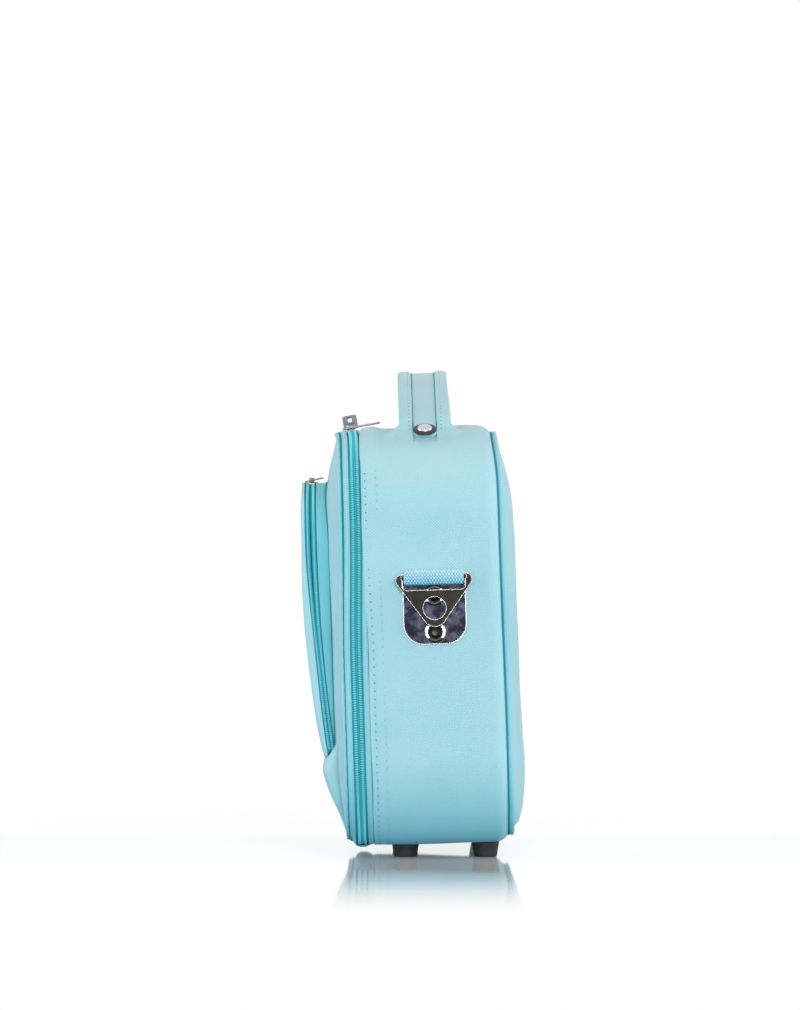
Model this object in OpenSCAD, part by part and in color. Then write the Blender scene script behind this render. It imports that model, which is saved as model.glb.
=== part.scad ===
// A soft beauty case: fabric over stiff board, a front lid that closes with a zip, a zipped pocket on
// the lid, a riveted carry handle, a strap anchor on each side and four rubber feet.
// The case is drawn upright in a frame of its own, x across, y up from the middle of the body and z to
// the front, and stand() then sets it on its feet with its slight forward lean.

/* [Case] */
// Width over the two sides
body_w = 336; // [300:1:380]
// Height of the body, without its feet and handle
body_h = 267; // [240:1:300]
// Depth of the side gusset, between its two seams
gusset_d = 86; // [70:1:110]
// Corner radius of the gusset, at its outside
corner_r = 56; // [50:1:62]
// Forward lean on the soft feet, in degrees
lean = 1.75; // [0:0.25:2.5]

/* [Covering and boards] */
// Thickness of the outer fabric
skin_t = 1.2; // [0.8:0.1:1.5]
// Thickness of the stiff board round the gusset
board_t = 3; // [2:0.1:3.5]
// Thickness of the board in the back and the lid
panel_board_t = 2.2; // [1.6:0.1:3]
// Thickness of the lining cloth
lining_t = 0.6; // [0.4:0.1:0.8]
// Gap left between two layers
layer_gap = 0.1; // [0.05:0.05:0.15]

/* [Back panel] */
// How far the padded back stands out from its seam
back_rise = 12.6; // [8:0.2:16]
// Radius that rounds the gusset into the back seam
back_round = 9; // [7.5:0.5:10]
// Thickness of the back piping
back_piping_d = 3.6; // [3:0.1:4.4]
// How far the back seam lies inside the gusset's outer face
back_seam_in = 5.2; // [4:0.2:6]

/* [Main zip] */
// Width of the fabric strip between the gusset and the zip
body_strip_w = 3.5; // [3:0.1:5]
// Width of the fabric strip on the lid's edge
lid_strip_w = 3.5; // [3:0.1:5]
// Width of the zip between the two strips
zip_w = 8; // [7.4:0.1:10]
// Width of one row of the coil
coil_w = 2; // [1.8:0.1:2.4]
// Height of the coil above its tape
coil_h = 1.5; // [1.2:0.1:1.6]
// Gap between the two rows of the coil
coil_gap = 0.8; // [0.7:0.05:0.9]
// Thickness of the zip's tape
tape_t = 0.6; // [0.4:0.1:0.8]
// How far the tape lies below the gusset's outer face
tape_sink = 2.1; // [2:0.1:2.6]
// How far the lid's strip lies below the gusset's outer face
lid_strip_sink = 0.9; // [0.7:0.1:1.1]
// How far the body's strip lies below the gusset's outer face
body_strip_sink = 0.7; // [0.5:0.1:1]

/* [Lid] */
// How far the lid's panel stands out from its seam
lid_rise = 9.6; // [6:0.2:12]
// Thickness of the lid's piping
lid_piping_d = 2.6; // [2:0.1:3.2]
// How far the lid's seam lies inside the gusset's outer face
lid_seam_in = 4.6; // [4:0.2:6]
// Depth of the lid board's turned edge
lid_wall_t = 2; // [1.5:0.1:2.5]

/* [Pocket] */
// How far the pocket lies in from each side of the body
pocket_in = 30; // [29:0.5:36]
// How far the pocket's top edge lies below the body's top
pocket_drop = 33.5; // [29:0.5:42]
// Radius of the pocket's top corners
pocket_r = 42; // [30:1:50]
// Thickness of the pocket's covered sides
pocket_wall = 1.6; // [1.2:0.1:2]
// Zip line ahead of the lid's seam, at the pocket's foot
zip_foot = 11.3; // [11.2:0.1:12]
// Zip line ahead of the lid's seam, at the pocket's top
zip_top = 18.9; // [18:0.1:20]
// How far the zip line bows forward between foot and top
zip_bow = 2.2; // [1:0.1:3]
// Front of the flap ahead of the lid's seam, at its foot
flap_foot = 13.8; // [13.5:0.1:15]
// Front of the flap ahead of the lid's seam, at its top
flap_top = 22.5; // [22.4:0.1:25]
// How far the flap's front bows forward
flap_bow = 7.1; // [5:0.1:9]
// Width of the pocket's zip between its two strips
pocket_zip_w = 6.4; // [6:0.1:7]
// Size of the pocket's zip as a share of the main one
pocket_zip_scale = 0.74; // [0.7:0.01:0.78]
// Height of the flap's hinge above the body's bottom
flap_hinge_h = 58; // [56:0.5:59]
// How far the padded cover over the pocket's foot is wider on each side
boot_over = 5; // [3:0.5:7]
// How far the cover stands ahead of the lid's seam
boot_rise = 15; // [14:0.2:16]

/* [Handle] */
// Height of the handle's top above the body
handle_rise = 37; // [34:0.5:42]
// Width of each rolled side band
band_w = 9; // [8:0.2:10]
// Thickness of the side bands
band_t = 4.6; // [4.2:0.1:5.4]
// Width of the strip between the bands
strip_w = 14.4; // [14.2:0.2:18]
// Thickness of the strip's three layers together
strip_t = 3.2; // [2.8:0.1:3.6]
// Slope at which the handle leaves the corner, in degrees
handle_slope = 27; // [25:0.5:28]
// How far the handle's middle lies ahead of the gusset's middle
handle_ahead = 2.7; // [0:0.1:5]
// Where each rivet sits on the corner, in degrees from the top
rivet_turn = 30; // [29:0.5:32]
// Where each tab ends on the corner, in degrees from the top
tab_turn = 40; // [38.5:0.5:46]
// Diameter of the black washer
washer_d = 14; // [12:0.5:14]
// Diameter of the handle rivet's shank
rivet_d = 5; // [4:0.2:5.6]

/* [Feet] */
// Height of the body's bottom above the floor
foot_h = 9; // [7:0.5:12]
// Diameter of a foot where it meets the case
foot_top_d = 18.3; // [16:0.1:20]
// Diameter of a foot at the floor
foot_low_d = 15; // [13:0.1:16]
// How far each foot's middle lies in from the side of the body
foot_in = 63; // [61:1:72]
// Front feet, ahead of the gusset's middle
foot_ahead = 23.1; // [18:0.1:26]
// Back feet, behind the gusset's middle
foot_behind = 28.3; // [22:0.1:29]
// Diameter of the screw in each foot
screw_d = 4; // [3:0.1:5]

/* [Strap anchors] */
// Width of the backing plate
plate_w = 40; // [38:0.5:42]
// Height of the backing plate
plate_h = 45; // [44:0.5:48]
// Corner radius at the foot of the backing plate
plate_r = 13; // [9:0.5:16]
// Thickness of the backing plate
plate_t = 1.2; // [1:0.1:1.4]
// Height of the plate's foot above the body's bottom
plate_foot = 128.7; // [110:0.1:140]
// Width of the webbing loop
webbing_w = 38.5; // [37:0.5:39]
// Height of the webbing loop
webbing_h = 9.8; // [9:0.1:11]
// Thickness of the webbing loop
webbing_t = 4.4; // [4.2:0.1:4.8]
// Width of the ring's metal on each side of the webbing's slot
ring_side = 4; // [3.6:0.1:4.8]
// Thickness of the ring
ring_t = 2; // [1.8:0.1:2.4]
// Diameter of the ring's round hole
ring_hole_d = 14.6; // [12:0.1:15]
// Diameter of the ring's bar, inside the webbing
ring_bar_d = 3; // [2.8:0.1:3.2]
// Running clearance of the bar in the webbing, on the radius
bar_clear = 0.08; // [0.05:0.01:0.1]

/* [Sliders] */
// Length of a slider along the zip
slider_l = 11; // [10:0.1:12]
// Width of a slider across the zip
slider_w = 10.6; // [10:0.1:11]
// Thickness of a slider's plates
slider_t = 0.8; // [0.7:0.05:0.9]
// Width of the bail that holds the pull
bail_w = 4.4; // [4:0.1:4.6]
// Length of a pull
pull_l = 25; // [22:0.5:28]
// Width of a pull
pull_w = 9.4; // [9:0.1:10]
// Thickness of a pull
pull_t = 1.2; // [1:0.05:1.3]
// Distance of each main slider from the middle, closed
slider_x = 8; // [7:0.5:20]

/* [Hidden] */

$fn = 72;
bow_fn = 360;
eps = 0.01;
cut = 400;

fabric = "#a1dae5";
fabric_shade = "#7cc6d4";
zip_blue = "#59bec9";
webbing_blue = "#97cbda";
board_grey = "#8f9299";
lining_grey = "#c9cdd2";
chrome = "#c8ccd0";
nickel = "#45413b";
rubber = "#1b1b1f";

mid_x = body_w / 2 - corner_r;
mid_y = body_h / 2 - corner_r;
half_h = body_h / 2;
gusset_f = gusset_d / 2;
board_out = corner_r - skin_t - layer_gap;
lining_out = board_out - board_t - layer_gap;
inside_r = lining_out - lining_t;

// Depth of each seam, counted to the front from the gusset's middle
strip_f = gusset_f + layer_gap;
zip_f0 = strip_f + body_strip_w;
zip_mid = zip_f0 + zip_w / 2;
lid_f0 = zip_f0 + zip_w;
lid_f = lid_f0 + lid_strip_w;

back_r0 = corner_r - back_seam_in - back_piping_d / 2 - layer_gap - 0.6;
lid_r0 = corner_r - lid_seam_in;
back_f = gusset_f + 0.5;

tape_out = corner_r - tape_sink;
tape_in = tape_out - tape_t;

pocket_foot_y = flap_hinge_h - 1 - half_h;
pocket_top_y = half_h - pocket_drop;
pocket_w = body_w - 2 * pocket_in;
boot_w = pocket_w + 2 * boot_over;
zip_foot_p = [lid_f + zip_foot, flap_hinge_h + 4 - half_h];
zip_top_p = [lid_f + zip_top, pocket_top_y - 26.5];
flap_foot_p = [lid_f + flap_foot, flap_hinge_h - 2.3 - half_h];
flap_top_p = [lid_f + flap_top, pocket_top_y];
flap_lining_foot = 92;
flap_lining_in = pocket_wall + 1.4;

stand_y = 17.5;

lid_base_f = lid_f + 0.5;

hole_clear = 0.3;
anchor_rivet_d = 9;
anchor_flange_d = 13;
flange_t = 0.9;
backing_t = 1.2;
anchor_in = inside_r - corner_r - layer_gap;
plate_top = layer_gap + plate_t;
anchor_rivet_x = [plate_foot + 7.8, plate_foot + 31.2];
bar_x = plate_foot + 42.6;
bar_z = plate_top + flange_t + 0.4 + ring_t / 2;
ring_hole_x = plate_foot + 23;
ring_apex_x = plate_foot + 11.2;
slot_low_x = plate_foot + 34.6;
slot_r = 2.8;
shoulder_r = 4;
apex_r = 7.6;
slot_w = plate_w + 0.4;
ring_w = slot_w + 2 * ring_side;

fold_p = [lid_f + flap_foot + 0.2, flap_hinge_h - half_h];
fold_turn = 47;
fold_clear = 0.4;
boot_foot = 3;
boot_front = [lid_f + boot_rise + 1.4, 47.1 - half_h];
bump_r = 8;
bump_p = [lid_f + boot_rise - 6.1, 49.8 - half_h];
boot_r = 42;

pk = pocket_zip_scale;
pocket_tape_in = 1.3;
pocket_slider_x = 70;

plate_low = coil_h + 0.3;
bail_l = slider_l - 1.5;
bail_leg = 1.1;
bail_t = 0.9;
bail_open = 3.1;
pull_bar = 1.6;
eye_l = 7.6;
eye_w = bail_w + 0.8;
leg_in_eye = pull_bar + 4;
pull_z = plate_low + slider_t + 1.7;
near_tilt = 8.4;
far_pitch = 20;
far_roll = 8;
pocket_tilt = 10;
pocket_turn = 20;

// Centre and radius of the arc through p and q, [depth, height], that bows to the front by s
function arc_r(p, q, s) = (pow(norm(q - p) / 2, 2) + s * s) / (2 * s);
function arc_c(p, q, s) = (p + q) / 2
    - [(q - p)[1], -(q - p)[0]] / norm(q - p) * (arc_r(p, q, s) - s);
function dome_r(half, rise) = (half * half + rise * rise) / (2 * rise);

// Radius at which a layer under a dome's surface meets the dome's seam plane
function dome_edge(half, rise, under) =
    sqrt(pow(dome_r(half, rise) - under, 2) - pow(dome_r(half, rise) - rise, 2));

// Sets the upright case on its feet, leaning forward about the middle of its bottom
module stand() {
    translate([0, stand_y, foot_h]) rotate([lean, 0, 0]) translate([0, 0, half_h]) rotate([90, 0, 0])
        children();
}

// Sweeps a section, x outward and y to the front, round a rectangle of corner centres
module around(half_x, half_y, sides = [0, 1, 2, 3]) {
    for (i = [0:3]) {
        across = i % 2 == 0 ? half_x : half_y;
        along = i % 2 == 0 ? half_y : half_x;
        rotate(90 * i) translate([across, along, 0]) {
            if (len(search(i, sides)) > 0) rotate([90, 0, 0]) linear_extrude(2 * along) children();
            rotate_extrude(angle = 90) children();
        }
    }
}

// One straight side of the same sweep: 0 right, 1 top, 2 left, 3 bottom
module one_side(i, half_x, half_y) {
    across = i % 2 == 0 ? half_x : half_y;
    along = i % 2 == 0 ? half_y : half_x;
    rotate(90 * i) translate([across, along, 0]) rotate([90, 0, 0]) linear_extrude(2 * along)
        children();
}

// A domed sheet over the rounded rectangle, between two depths below the dome's surface
module dome_sheet(base_r, rise, under, thick) {
    r = dome_r(base_r, rise);
    around(mid_x, mid_y) intersection() {
        difference() {
            translate([0, rise - r]) circle(r - under, $fn = bow_fn);
            translate([0, rise - r]) circle(r - under - thick, $fn = bow_fn);
        }
        square([base_r, rise]);
    }
    translate([-mid_x, -mid_y, rise - under - thick]) cube([2 * mid_x, 2 * mid_y, thick]);
}

// The full body of the dome, down to its seam plane
module dome_body(base_r, rise) {
    r = dome_r(base_r, rise);
    around(mid_x, mid_y) intersection() {
        translate([0, rise - r]) circle(r, $fn = bow_fn);
        square([base_r, rise]);
    }
    translate([-mid_x, -mid_y, 0]) cube([2 * mid_x, 2 * mid_y, rise]);
}

module rounded_rect(w, h, r) {
    square([w - 2 * r, h], center = true);
    square([w, h - 2 * r], center = true);
    for (x = [-1, 1], y = [-1, 1]) translate([x * (w / 2 - r), y * (h / 2 - r)]) circle(r);
}

// Holes for what is riveted or screwed through the body's layers

module foot_places() {
    for (x = [-1, 1], y = [-foot_ahead, foot_behind])
        translate([x * (body_w / 2 - foot_in), stand_y + y, 0]) children();
}

module foot_holes(d) {
    foot_places() cylinder(d = d, h = foot_h + 16);
}

module handle_rivet_places() {
    for (side = [0, 1]) mirror([side, 0, 0])
        translate([mid_x, mid_y, handle_ahead]) rotate([0, 0, 90 - rivet_turn]) rotate([0, 90, 0])
            children();
}

module handle_holes(d) {
    stand() handle_rivet_places() translate([0, 0, corner_r - 14]) cylinder(d = d, h = 24);
}

module anchor_holes(d) {
    on_sides() for (x = anchor_rivet_x) translate([x, 0, -12]) cylinder(d = d, h = 16);
}

// Body

module side_gusset() {
    color(fabric) difference() {
        stand() around(mid_x, mid_y) {
            translate([corner_r - skin_t, back_round - gusset_f])
                square([skin_t, gusset_d - back_round]);
            translate([corner_r - back_round, back_round - gusset_f]) intersection() {
                difference() {
                    circle(back_round);
                    circle(back_round - skin_t);
                }
                translate([back_round - back_seam_in, -back_round]) square([back_round, back_round]);
            }
        }
        foot_holes(screw_d + 2 * hole_clear);
        handle_holes(rivet_d + 2 * hole_clear);
        anchor_holes(anchor_rivet_d + 2 * hole_clear);
    }
}

module gusset_board() {
    color(board_grey) difference() {
        stand() around(mid_x, mid_y) translate([board_out - board_t, back_round - 1 - gusset_f])
            square([board_t, gusset_d - back_round]);
        foot_holes(screw_d + 2 * hole_clear);
        handle_holes(rivet_d + 2 * hole_clear);
        anchor_holes(anchor_rivet_d + 2 * hole_clear);
    }
}

back_under = skin_t + layer_gap + panel_board_t + layer_gap;

lining_back = gusset_f - 3;

module body_lining() {
    inner = dome_edge(back_r0, back_rise, back_under + lining_t / 2);
    outer = dome_edge(back_r0, back_rise, back_under + lining_t * 0.2);
    color(lining_grey) difference() {
        stand() {
            around(mid_x, mid_y) {
                translate([inside_r, -lining_back]) square([lining_t, gusset_f + lining_back - 1]);
                translate([inner, -lining_back]) square([inside_r + lining_t - inner, lining_t]);
                translate([inner, -back_f]) square([outer - inner, back_f - lining_back + lining_t]);
            }
            translate([0, 0, -back_f]) mirror([0, 0, 1])
                dome_sheet(back_r0, back_rise, back_under, lining_t);
        }
        foot_holes(screw_d + 2 * hole_clear);
        handle_holes(rivet_d + 2 * hole_clear);
        anchor_holes(anchor_rivet_d + 2 * hole_clear);
    }
}

module back_panel() {
    color(fabric) stand() translate([0, 0, -back_f]) mirror([0, 0, 1])
        dome_sheet(back_r0, back_rise, 0, skin_t);
}

module back_board() {
    color(board_grey) stand() translate([0, 0, -back_f]) mirror([0, 0, 1])
        dome_sheet(back_r0, back_rise, skin_t + layer_gap, panel_board_t);
}

module back_piping() {
    color(fabric_shade) stand() around(mid_x, mid_y)
        translate([corner_r - back_seam_in - 0.4, -gusset_f - back_piping_d / 2 + 0.75])
            circle(d = back_piping_d);
}

module base_board() {
    color(board_grey) difference() {
        stand() translate([-mid_x, -half_h + corner_r - inside_r + layer_gap, -gusset_f + 4])
            cube([2 * mid_x, panel_board_t, gusset_d - 8]);
        foot_holes(screw_d + 2 * hole_clear);
    }
}

module body_strip() {
    color(fabric_shade) stand() around(mid_x, mid_y)
        translate([tape_out + layer_gap, strip_f])
            square([tape_sink - layer_gap - body_strip_sink, body_strip_w]);
}

module body_zip_tape() {
    color(zip_blue) stand() around(mid_x, mid_y, [0, 1, 2])
        translate([tape_in, strip_f]) square([tape_t, zip_mid - coil_gap / 2 - strip_f]);
}

// Half of the coil, lying on its tape, from a start to its outer side
module coil_section(w, h) {
    r = h / 2;
    translate([r, r]) circle(r);
    translate([r, w - r]) circle(r);
    translate([0, r]) square([h, w - h]);
}

module body_zip_coil() {
    color(zip_blue) stand() around(mid_x, mid_y, [0, 1, 2])
        translate([tape_out + 0.02, zip_mid - coil_gap / 2 - coil_w]) coil_section(coil_w, coil_h);
}

module body_hinge_tape() {
    color(fabric_shade) stand() one_side(3, mid_x, mid_y)
        translate([tape_in, strip_f]) square([tape_t, zip_mid - coil_gap / 2 - strip_f]);
}

// Handle: a section, x outward and y to the front, carried up one corner, over the top and down again

tan_s = tan(handle_slope);
cos_s = cos(handle_slope);
sin_s = sin(handle_slope);
tab_r = corner_r + layer_gap;
leave = [mid_x + tab_r * sin_s, mid_y + tab_r * cos_s];
handle_in_y = half_h + handle_rise - band_t;
arch_r = round(10 * (leave[1] + leave[0] * tan_s - handle_in_y) * cos_s / (1 - cos_s)) / 10;
flank_l = round(10 * (leave[0] - arch_r * sin_s) / cos_s) / 10;

// Half of it in one turned frame, cut off at the middle, and its mirror image
module along_handle() {
    for (side = [0, 1]) mirror([side, 0, 0]) intersection() {
        translate([0, -cut / 2, -cut / 2]) cube(cut);
        translate([mid_x, mid_y, handle_ahead]) rotate(90 - handle_slope) {
            mirror([0, 1, 0]) rotate_extrude(angle = tab_turn - handle_slope)
                translate([tab_r, 0]) children();
            translate([tab_r, flank_l, 0]) rotate([90, 0, 0]) linear_extrude(flank_l) children();
            translate([tab_r - arch_r, flank_l, 0]) rotate_extrude(angle = handle_slope + 2)
                translate([arch_r, 0]) children();
        }
    }
}

module band_section() {
    r = band_t / 2;
    translate([r, r]) circle(r);
    translate([r, band_w - r]) circle(r);
    translate([0, r]) square([band_t, band_w - band_t]);
}

module handle_bands() {
    color(fabric) stand() for (side = [0, 1]) mirror([0, 0, side])
        translate([0, 0, side == 0 ? 0 : -2 * handle_ahead]) along_handle()
            translate([0, strip_w / 2 + layer_gap]) band_section();
}

layer = (strip_t - 2 * layer_gap) / 3;

module handle_layer(start) {
    difference() {
        stand() along_handle() translate([start, -strip_w / 2]) square([layer, strip_w]);
        handle_holes(rivet_d + 2 * hole_clear);
    }
}

module handle_strip() {
    color(fabric) handle_layer(2 * (layer + layer_gap));
}

module handle_core() {
    color(board_grey) handle_layer(layer + layer_gap);
}

module handle_lining() {
    color(fabric_shade) handle_layer(0);
}

washer_t = 1.6;
dome_h = 2.4;
dome_d = 10;

module handle_rivets() {
    color(chrome) stand() handle_rivet_places() {
        translate([0, 0, inside_r - 3])
            cylinder(d = rivet_d, h = tab_r + strip_t + washer_t + 3.2 - inside_r);
        translate([0, 0, tab_r + strip_t + washer_t + 0.15]) intersection() {
            translate([0, 0, dome_h - dome_r(dome_d / 2, dome_h)]) sphere(dome_r(dome_d / 2, dome_h));
            cylinder(d = dome_d + 1, h = dome_h + 1);
        }
        translate([0, 0, inside_r - 3]) cylinder(d = 2 * rivet_d - 2, h = 0.8);
    }
}

module handle_washers() {
    color(rubber) stand() handle_rivet_places() translate([0, 0, tab_r + strip_t + 0.05])
        difference() {
            rotate_extrude() {
                square([washer_d / 2 - washer_t / 2, washer_t]);
                translate([washer_d / 2 - washer_t / 2, washer_t / 2]) circle(d = washer_t);
            }
            translate([0, 0, -1]) cylinder(d = rivet_d + 0.2, h = washer_t + 2);
        }
}

module handle_backing_washers() {
    color(chrome) stand() handle_rivet_places() translate([0, 0, inside_r - 2])
        difference() {
            cylinder(d = washer_d, h = 1);
            translate([0, 0, -1]) cylinder(d = rivet_d + 0.2, h = 4);
        }
}

// Feet

foot_head_d = 7.6;
foot_head_h = 2.6;

// The slice of space under the leaning case
module under_case() {
    translate([0, stand_y, foot_h]) rotate([lean, 0, 0]) translate([-cut / 2, -cut / 2, -cut - 0.05])
        cube([cut, cut, cut]);
}

module feet() {
    color(rubber) intersection() {
        foot_places() difference() {
            rotate_extrude() difference() {
                union() {
                    square([foot_low_d / 2 - 1, 2]);
                    translate([foot_low_d / 2 - 1, 1]) circle(1);
                    polygon([[0, 1], [foot_low_d / 2, 1], [foot_top_d / 2, foot_h + 2], [0, foot_h + 2]]);
                }
                translate([-cut, -cut / 2]) square([cut, cut]);
            }
            translate([0, 0, -1]) cylinder(d = foot_head_d + 0.4, h = foot_head_h + 1.8);
            cylinder(d = screw_d + 0.2, h = foot_h + 4);
        }
        under_case();
    }
}

nut_seat = corner_r - inside_r + panel_board_t + 2 * layer_gap + 1.3;

module foot_screws() {
    color(chrome) foot_places() {
        translate([0, 0, 0.8]) cylinder(d = foot_head_d, h = foot_head_h - 0.1);
        translate([0, 0, 0.8]) cylinder(d = screw_d, h = foot_h + nut_seat + 2.4);
    }
}

module foot_nuts() {
    color(chrome) foot_places() translate([0, 0, foot_h + nut_seat]) difference() {
        union() {
            cylinder(d = 3 * screw_d, h = 0.8);
            cylinder(d = 2 * screw_d, h = 3, $fn = 6);
        }
        translate([0, 0, -1]) cylinder(d = screw_d + 0.1, h = 6);
    }
}

// Strap anchors: x runs up the case side and y to the front, z stands out from the side

module on_sides() {
    stand() for (side = [0, 1]) mirror([side, 0, 0]) on_right_side() children();
}

module on_right_side() {
    translate([body_w / 2, -half_h, 0]) rotate([90, 0, 90]) children();
}

module anchor_plate_outline() {
    translate([plate_foot + plate_r, 0]) square([2 * plate_r, plate_w - 2 * plate_r], center = true);
    translate([plate_foot + plate_r, -plate_w / 2]) square([plate_h - plate_r, plate_w]);
    for (y = [-1, 1]) translate([plate_foot + plate_r, y * (plate_w / 2 - plate_r)]) circle(plate_r);
}

module anchor_plates() {
    color(nickel) on_sides() difference() {
        translate([0, 0, layer_gap]) linear_extrude(plate_t) anchor_plate_outline();
        for (x = anchor_rivet_x) translate([x, 0, -1]) cylinder(d = anchor_rivet_d + 0.2, h = 4);
    }
}

module anchor_rivets() {
    color(nickel) on_sides() for (x = anchor_rivet_x) translate([x, 0, 0]) difference() {
        union() {
            translate([0, 0, anchor_in - backing_t - 1])
                cylinder(d = anchor_rivet_d, h = plate_top + 1.4 + backing_t - anchor_in);
            translate([0, 0, plate_top + 0.05]) rotate_extrude() {
                square([anchor_flange_d / 2 - flange_t / 2, flange_t]);
                translate([anchor_flange_d / 2 - flange_t / 2, flange_t / 2]) circle(d = flange_t);
            }
            translate([0, 0, anchor_in - backing_t - 1]) cylinder(d = anchor_flange_d, h = 0.9);
        }
        translate([0, 0, anchor_in - backing_t - 2])
            cylinder(d = anchor_rivet_d - 1.4, h = plate_top + 4 + backing_t - anchor_in);
    }
}

module anchor_backing_plates() {
    color(chrome) on_sides() difference() {
        translate([plate_foot, -plate_w / 2 + 2, anchor_in - backing_t])
            cube([plate_h - 4, plate_w - 4, backing_t - layer_gap]);
        for (x = anchor_rivet_x) translate([x, 0, -12]) cylinder(d = anchor_rivet_d + 0.2, h = 12);
    }
}

module anchor_webbing() {
    color(webbing_blue) on_sides() translate([bar_x, 0, bar_z]) rotate([90, 0, 0])
        translate([0, 0, -webbing_w / 2]) difference() {
            linear_extrude(webbing_w) {
                square([webbing_h - webbing_t, webbing_t], center = true);
                for (x = [-1, 1]) translate([x * (webbing_h - webbing_t) / 2, 0]) circle(d = webbing_t);
            }
            translate([0, 0, -1]) cylinder(d = ring_bar_d + 2 * bar_clear, h = webbing_w + 2);
        }
}

module strap_ring() {
    translate([0, 0, bar_z - ring_t / 2]) linear_extrude(ring_t) difference() {
        hull() {
            for (y = [-1, 1]) translate([bar_x - 1.8, y * (ring_w / 2 - shoulder_r)]) circle(shoulder_r);
            translate([ring_apex_x + apex_r, 0]) circle(apex_r);
        }
        translate([slot_low_x + slot_r, 0]) {
            translate([0, -slot_w / 2]) square([cut, slot_w]);
            square([2 * slot_r, slot_w - 2 * slot_r], center = true);
            for (y = [-1, 1]) translate([0, y * (slot_w / 2 - slot_r)]) circle(slot_r);
        }
        translate([ring_hole_x, 0]) circle(d = ring_hole_d);
    }
    translate([bar_x, 0, bar_z]) rotate([90, 0, 0])
        cylinder(d = ring_bar_d, h = slot_w + 1, center = true);
}

module strap_ring_right() {
    color(nickel) stand() on_right_side() strap_ring();
}

module strap_ring_left() {
    color(nickel) stand() mirror([1, 0, 0]) on_right_side() strap_ring();
}

// Lid

module lid_strip() {
    color(fabric_shade) stand() around(mid_x, mid_y)
        translate([tape_out + layer_gap, lid_f0])
            square([tape_sink - layer_gap - lid_strip_sink, lid_strip_w]);
}

module lid_zip_tape() {
    color(zip_blue) stand() around(mid_x, mid_y, [0, 1, 2])
        translate([tape_in, zip_mid + coil_gap / 2]) square([tape_t, lid_f - zip_mid - coil_gap / 2]);
}

module lid_zip_coil() {
    color(zip_blue) stand() around(mid_x, mid_y, [0, 1, 2])
        translate([tape_out + 0.02, zip_mid + coil_gap / 2]) coil_section(coil_w, coil_h);
}

module lid_hinge_tape() {
    color(fabric_shade) stand() one_side(3, mid_x, mid_y)
        translate([tape_in, zip_mid + coil_gap / 2]) square([tape_t, lid_f - zip_mid - coil_gap / 2]);
}

module lid_panel() {
    color(fabric) stand() translate([0, 0, lid_base_f]) dome_sheet(lid_r0, lid_rise, 0, skin_t);
}

module lid_board() {
    wall_out = tape_in - 0.3;
    inner = dome_edge(lid_r0, lid_rise, skin_t + layer_gap + panel_board_t * 0.8);
    color(board_grey) stand() {
        translate([0, 0, lid_base_f])
            dome_sheet(lid_r0, lid_rise, skin_t + layer_gap, panel_board_t);
        around(mid_x, mid_y) {
            translate([inner, lid_base_f - panel_board_t]) square([lid_r0 - inner, panel_board_t]);
            translate([inner, lid_base_f - panel_board_t])
                square([wall_out - inner, lid_f - layer_gap - lid_base_f + panel_board_t]);
            translate([wall_out - lid_wall_t, lid_f0 + 0.3])
                square([lid_wall_t, lid_f - layer_gap - lid_f0 - 0.3]);
        }
    }
}

module lid_lining() {
    under = skin_t + panel_board_t + 2 * layer_gap;
    inner = dome_edge(lid_r0, lid_rise, under + lining_t * 0.8);
    step = panel_board_t + layer_gap + lining_t;
    color(lining_grey) stand() {
        translate([0, 0, lid_base_f]) dome_sheet(lid_r0, lid_rise, under, lining_t);
        around(mid_x, mid_y) translate([inner, lid_base_f - step]) {
            square([dome_edge(lid_r0, lid_rise, under + lining_t * 0.2) - inner, step]);
            square([tape_in - 0.4 - lid_wall_t - inner, lining_t]);
        }
    }
}

module lid_piping() {
    color(fabric_shade) stand() around(mid_x, mid_y)
        translate([lid_r0 + 0.3 + lid_piping_d / 2, lid_f + lid_piping_d / 2]) circle(d = lid_piping_d);
}

// Pocket: its outline in the front view, and the arcs that its layers follow in the side view

module pocket_outline(inset, foot) {
    top = pocket_top_y;
    side = pocket_w / 2;
    translate([-side + inset, foot]) square([pocket_w - 2 * inset, top - pocket_r - foot]);
    translate([-side + pocket_r, foot]) square([pocket_w - 2 * pocket_r, top - inset - foot]);
    for (x = [-1, 1]) translate([x * (side - pocket_r), top - pocket_r]) circle(pocket_r - inset);
}

module pocket_block(inset, foot) {
    linear_extrude(lid_f + cut / 4) pocket_outline(inset, foot);
}

module pocket_wall_block(inset, thick) {
    difference() {
        pocket_block(inset, pocket_foot_y);
        pocket_block(inset + thick, pocket_foot_y - 1);
    }
}

// Everything behind the arc through p and q, moved forward by off
module behind(p, q, s, off) {
    c = arc_c(p, q, s);
    translate([-cut / 2, c[1], c[0]]) rotate([0, 90, 0])
        cylinder(r = arc_r(p, q, s) + off, h = cut, $fn = bow_fn);
}

module behind_zip(off) {
    behind(zip_foot_p, zip_top_p, zip_bow, off);
}

module behind_flap(off) {
    behind(flap_foot_p, flap_top_p, flap_bow, off);
}

// Everything above the fold where the pocket meets the cover over its foot
module above_fold(off) {
    translate([0, fold_p[1], fold_p[0]]) rotate([fold_turn, 0, 0])
        translate([-cut / 2, off, -cut / 2]) cube(cut);
}

module pocket_bellows() {
    color(fabric_shade) stand() difference() {
        intersection() {
            pocket_wall_block(0, pocket_wall);
            behind_zip(-pocket_zip_w / 2);
            above_fold(layer_gap);
        }
        translate([0, 0, lid_base_f]) dome_body(lid_r0, lid_rise);
        translate([-cut / 2, -cut / 2, lid_base_f - cut]) cube(cut);
    }
}

module pocket_zip_band(inset, thick, from, to, clear) {
    stand() intersection() {
        difference() {
            pocket_wall_block(inset, thick);
            behind_zip(from);
        }
        behind_zip(to);
        behind_flap(-pocket_wall - layer_gap);
        above_fold(clear);
    }
}

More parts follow.
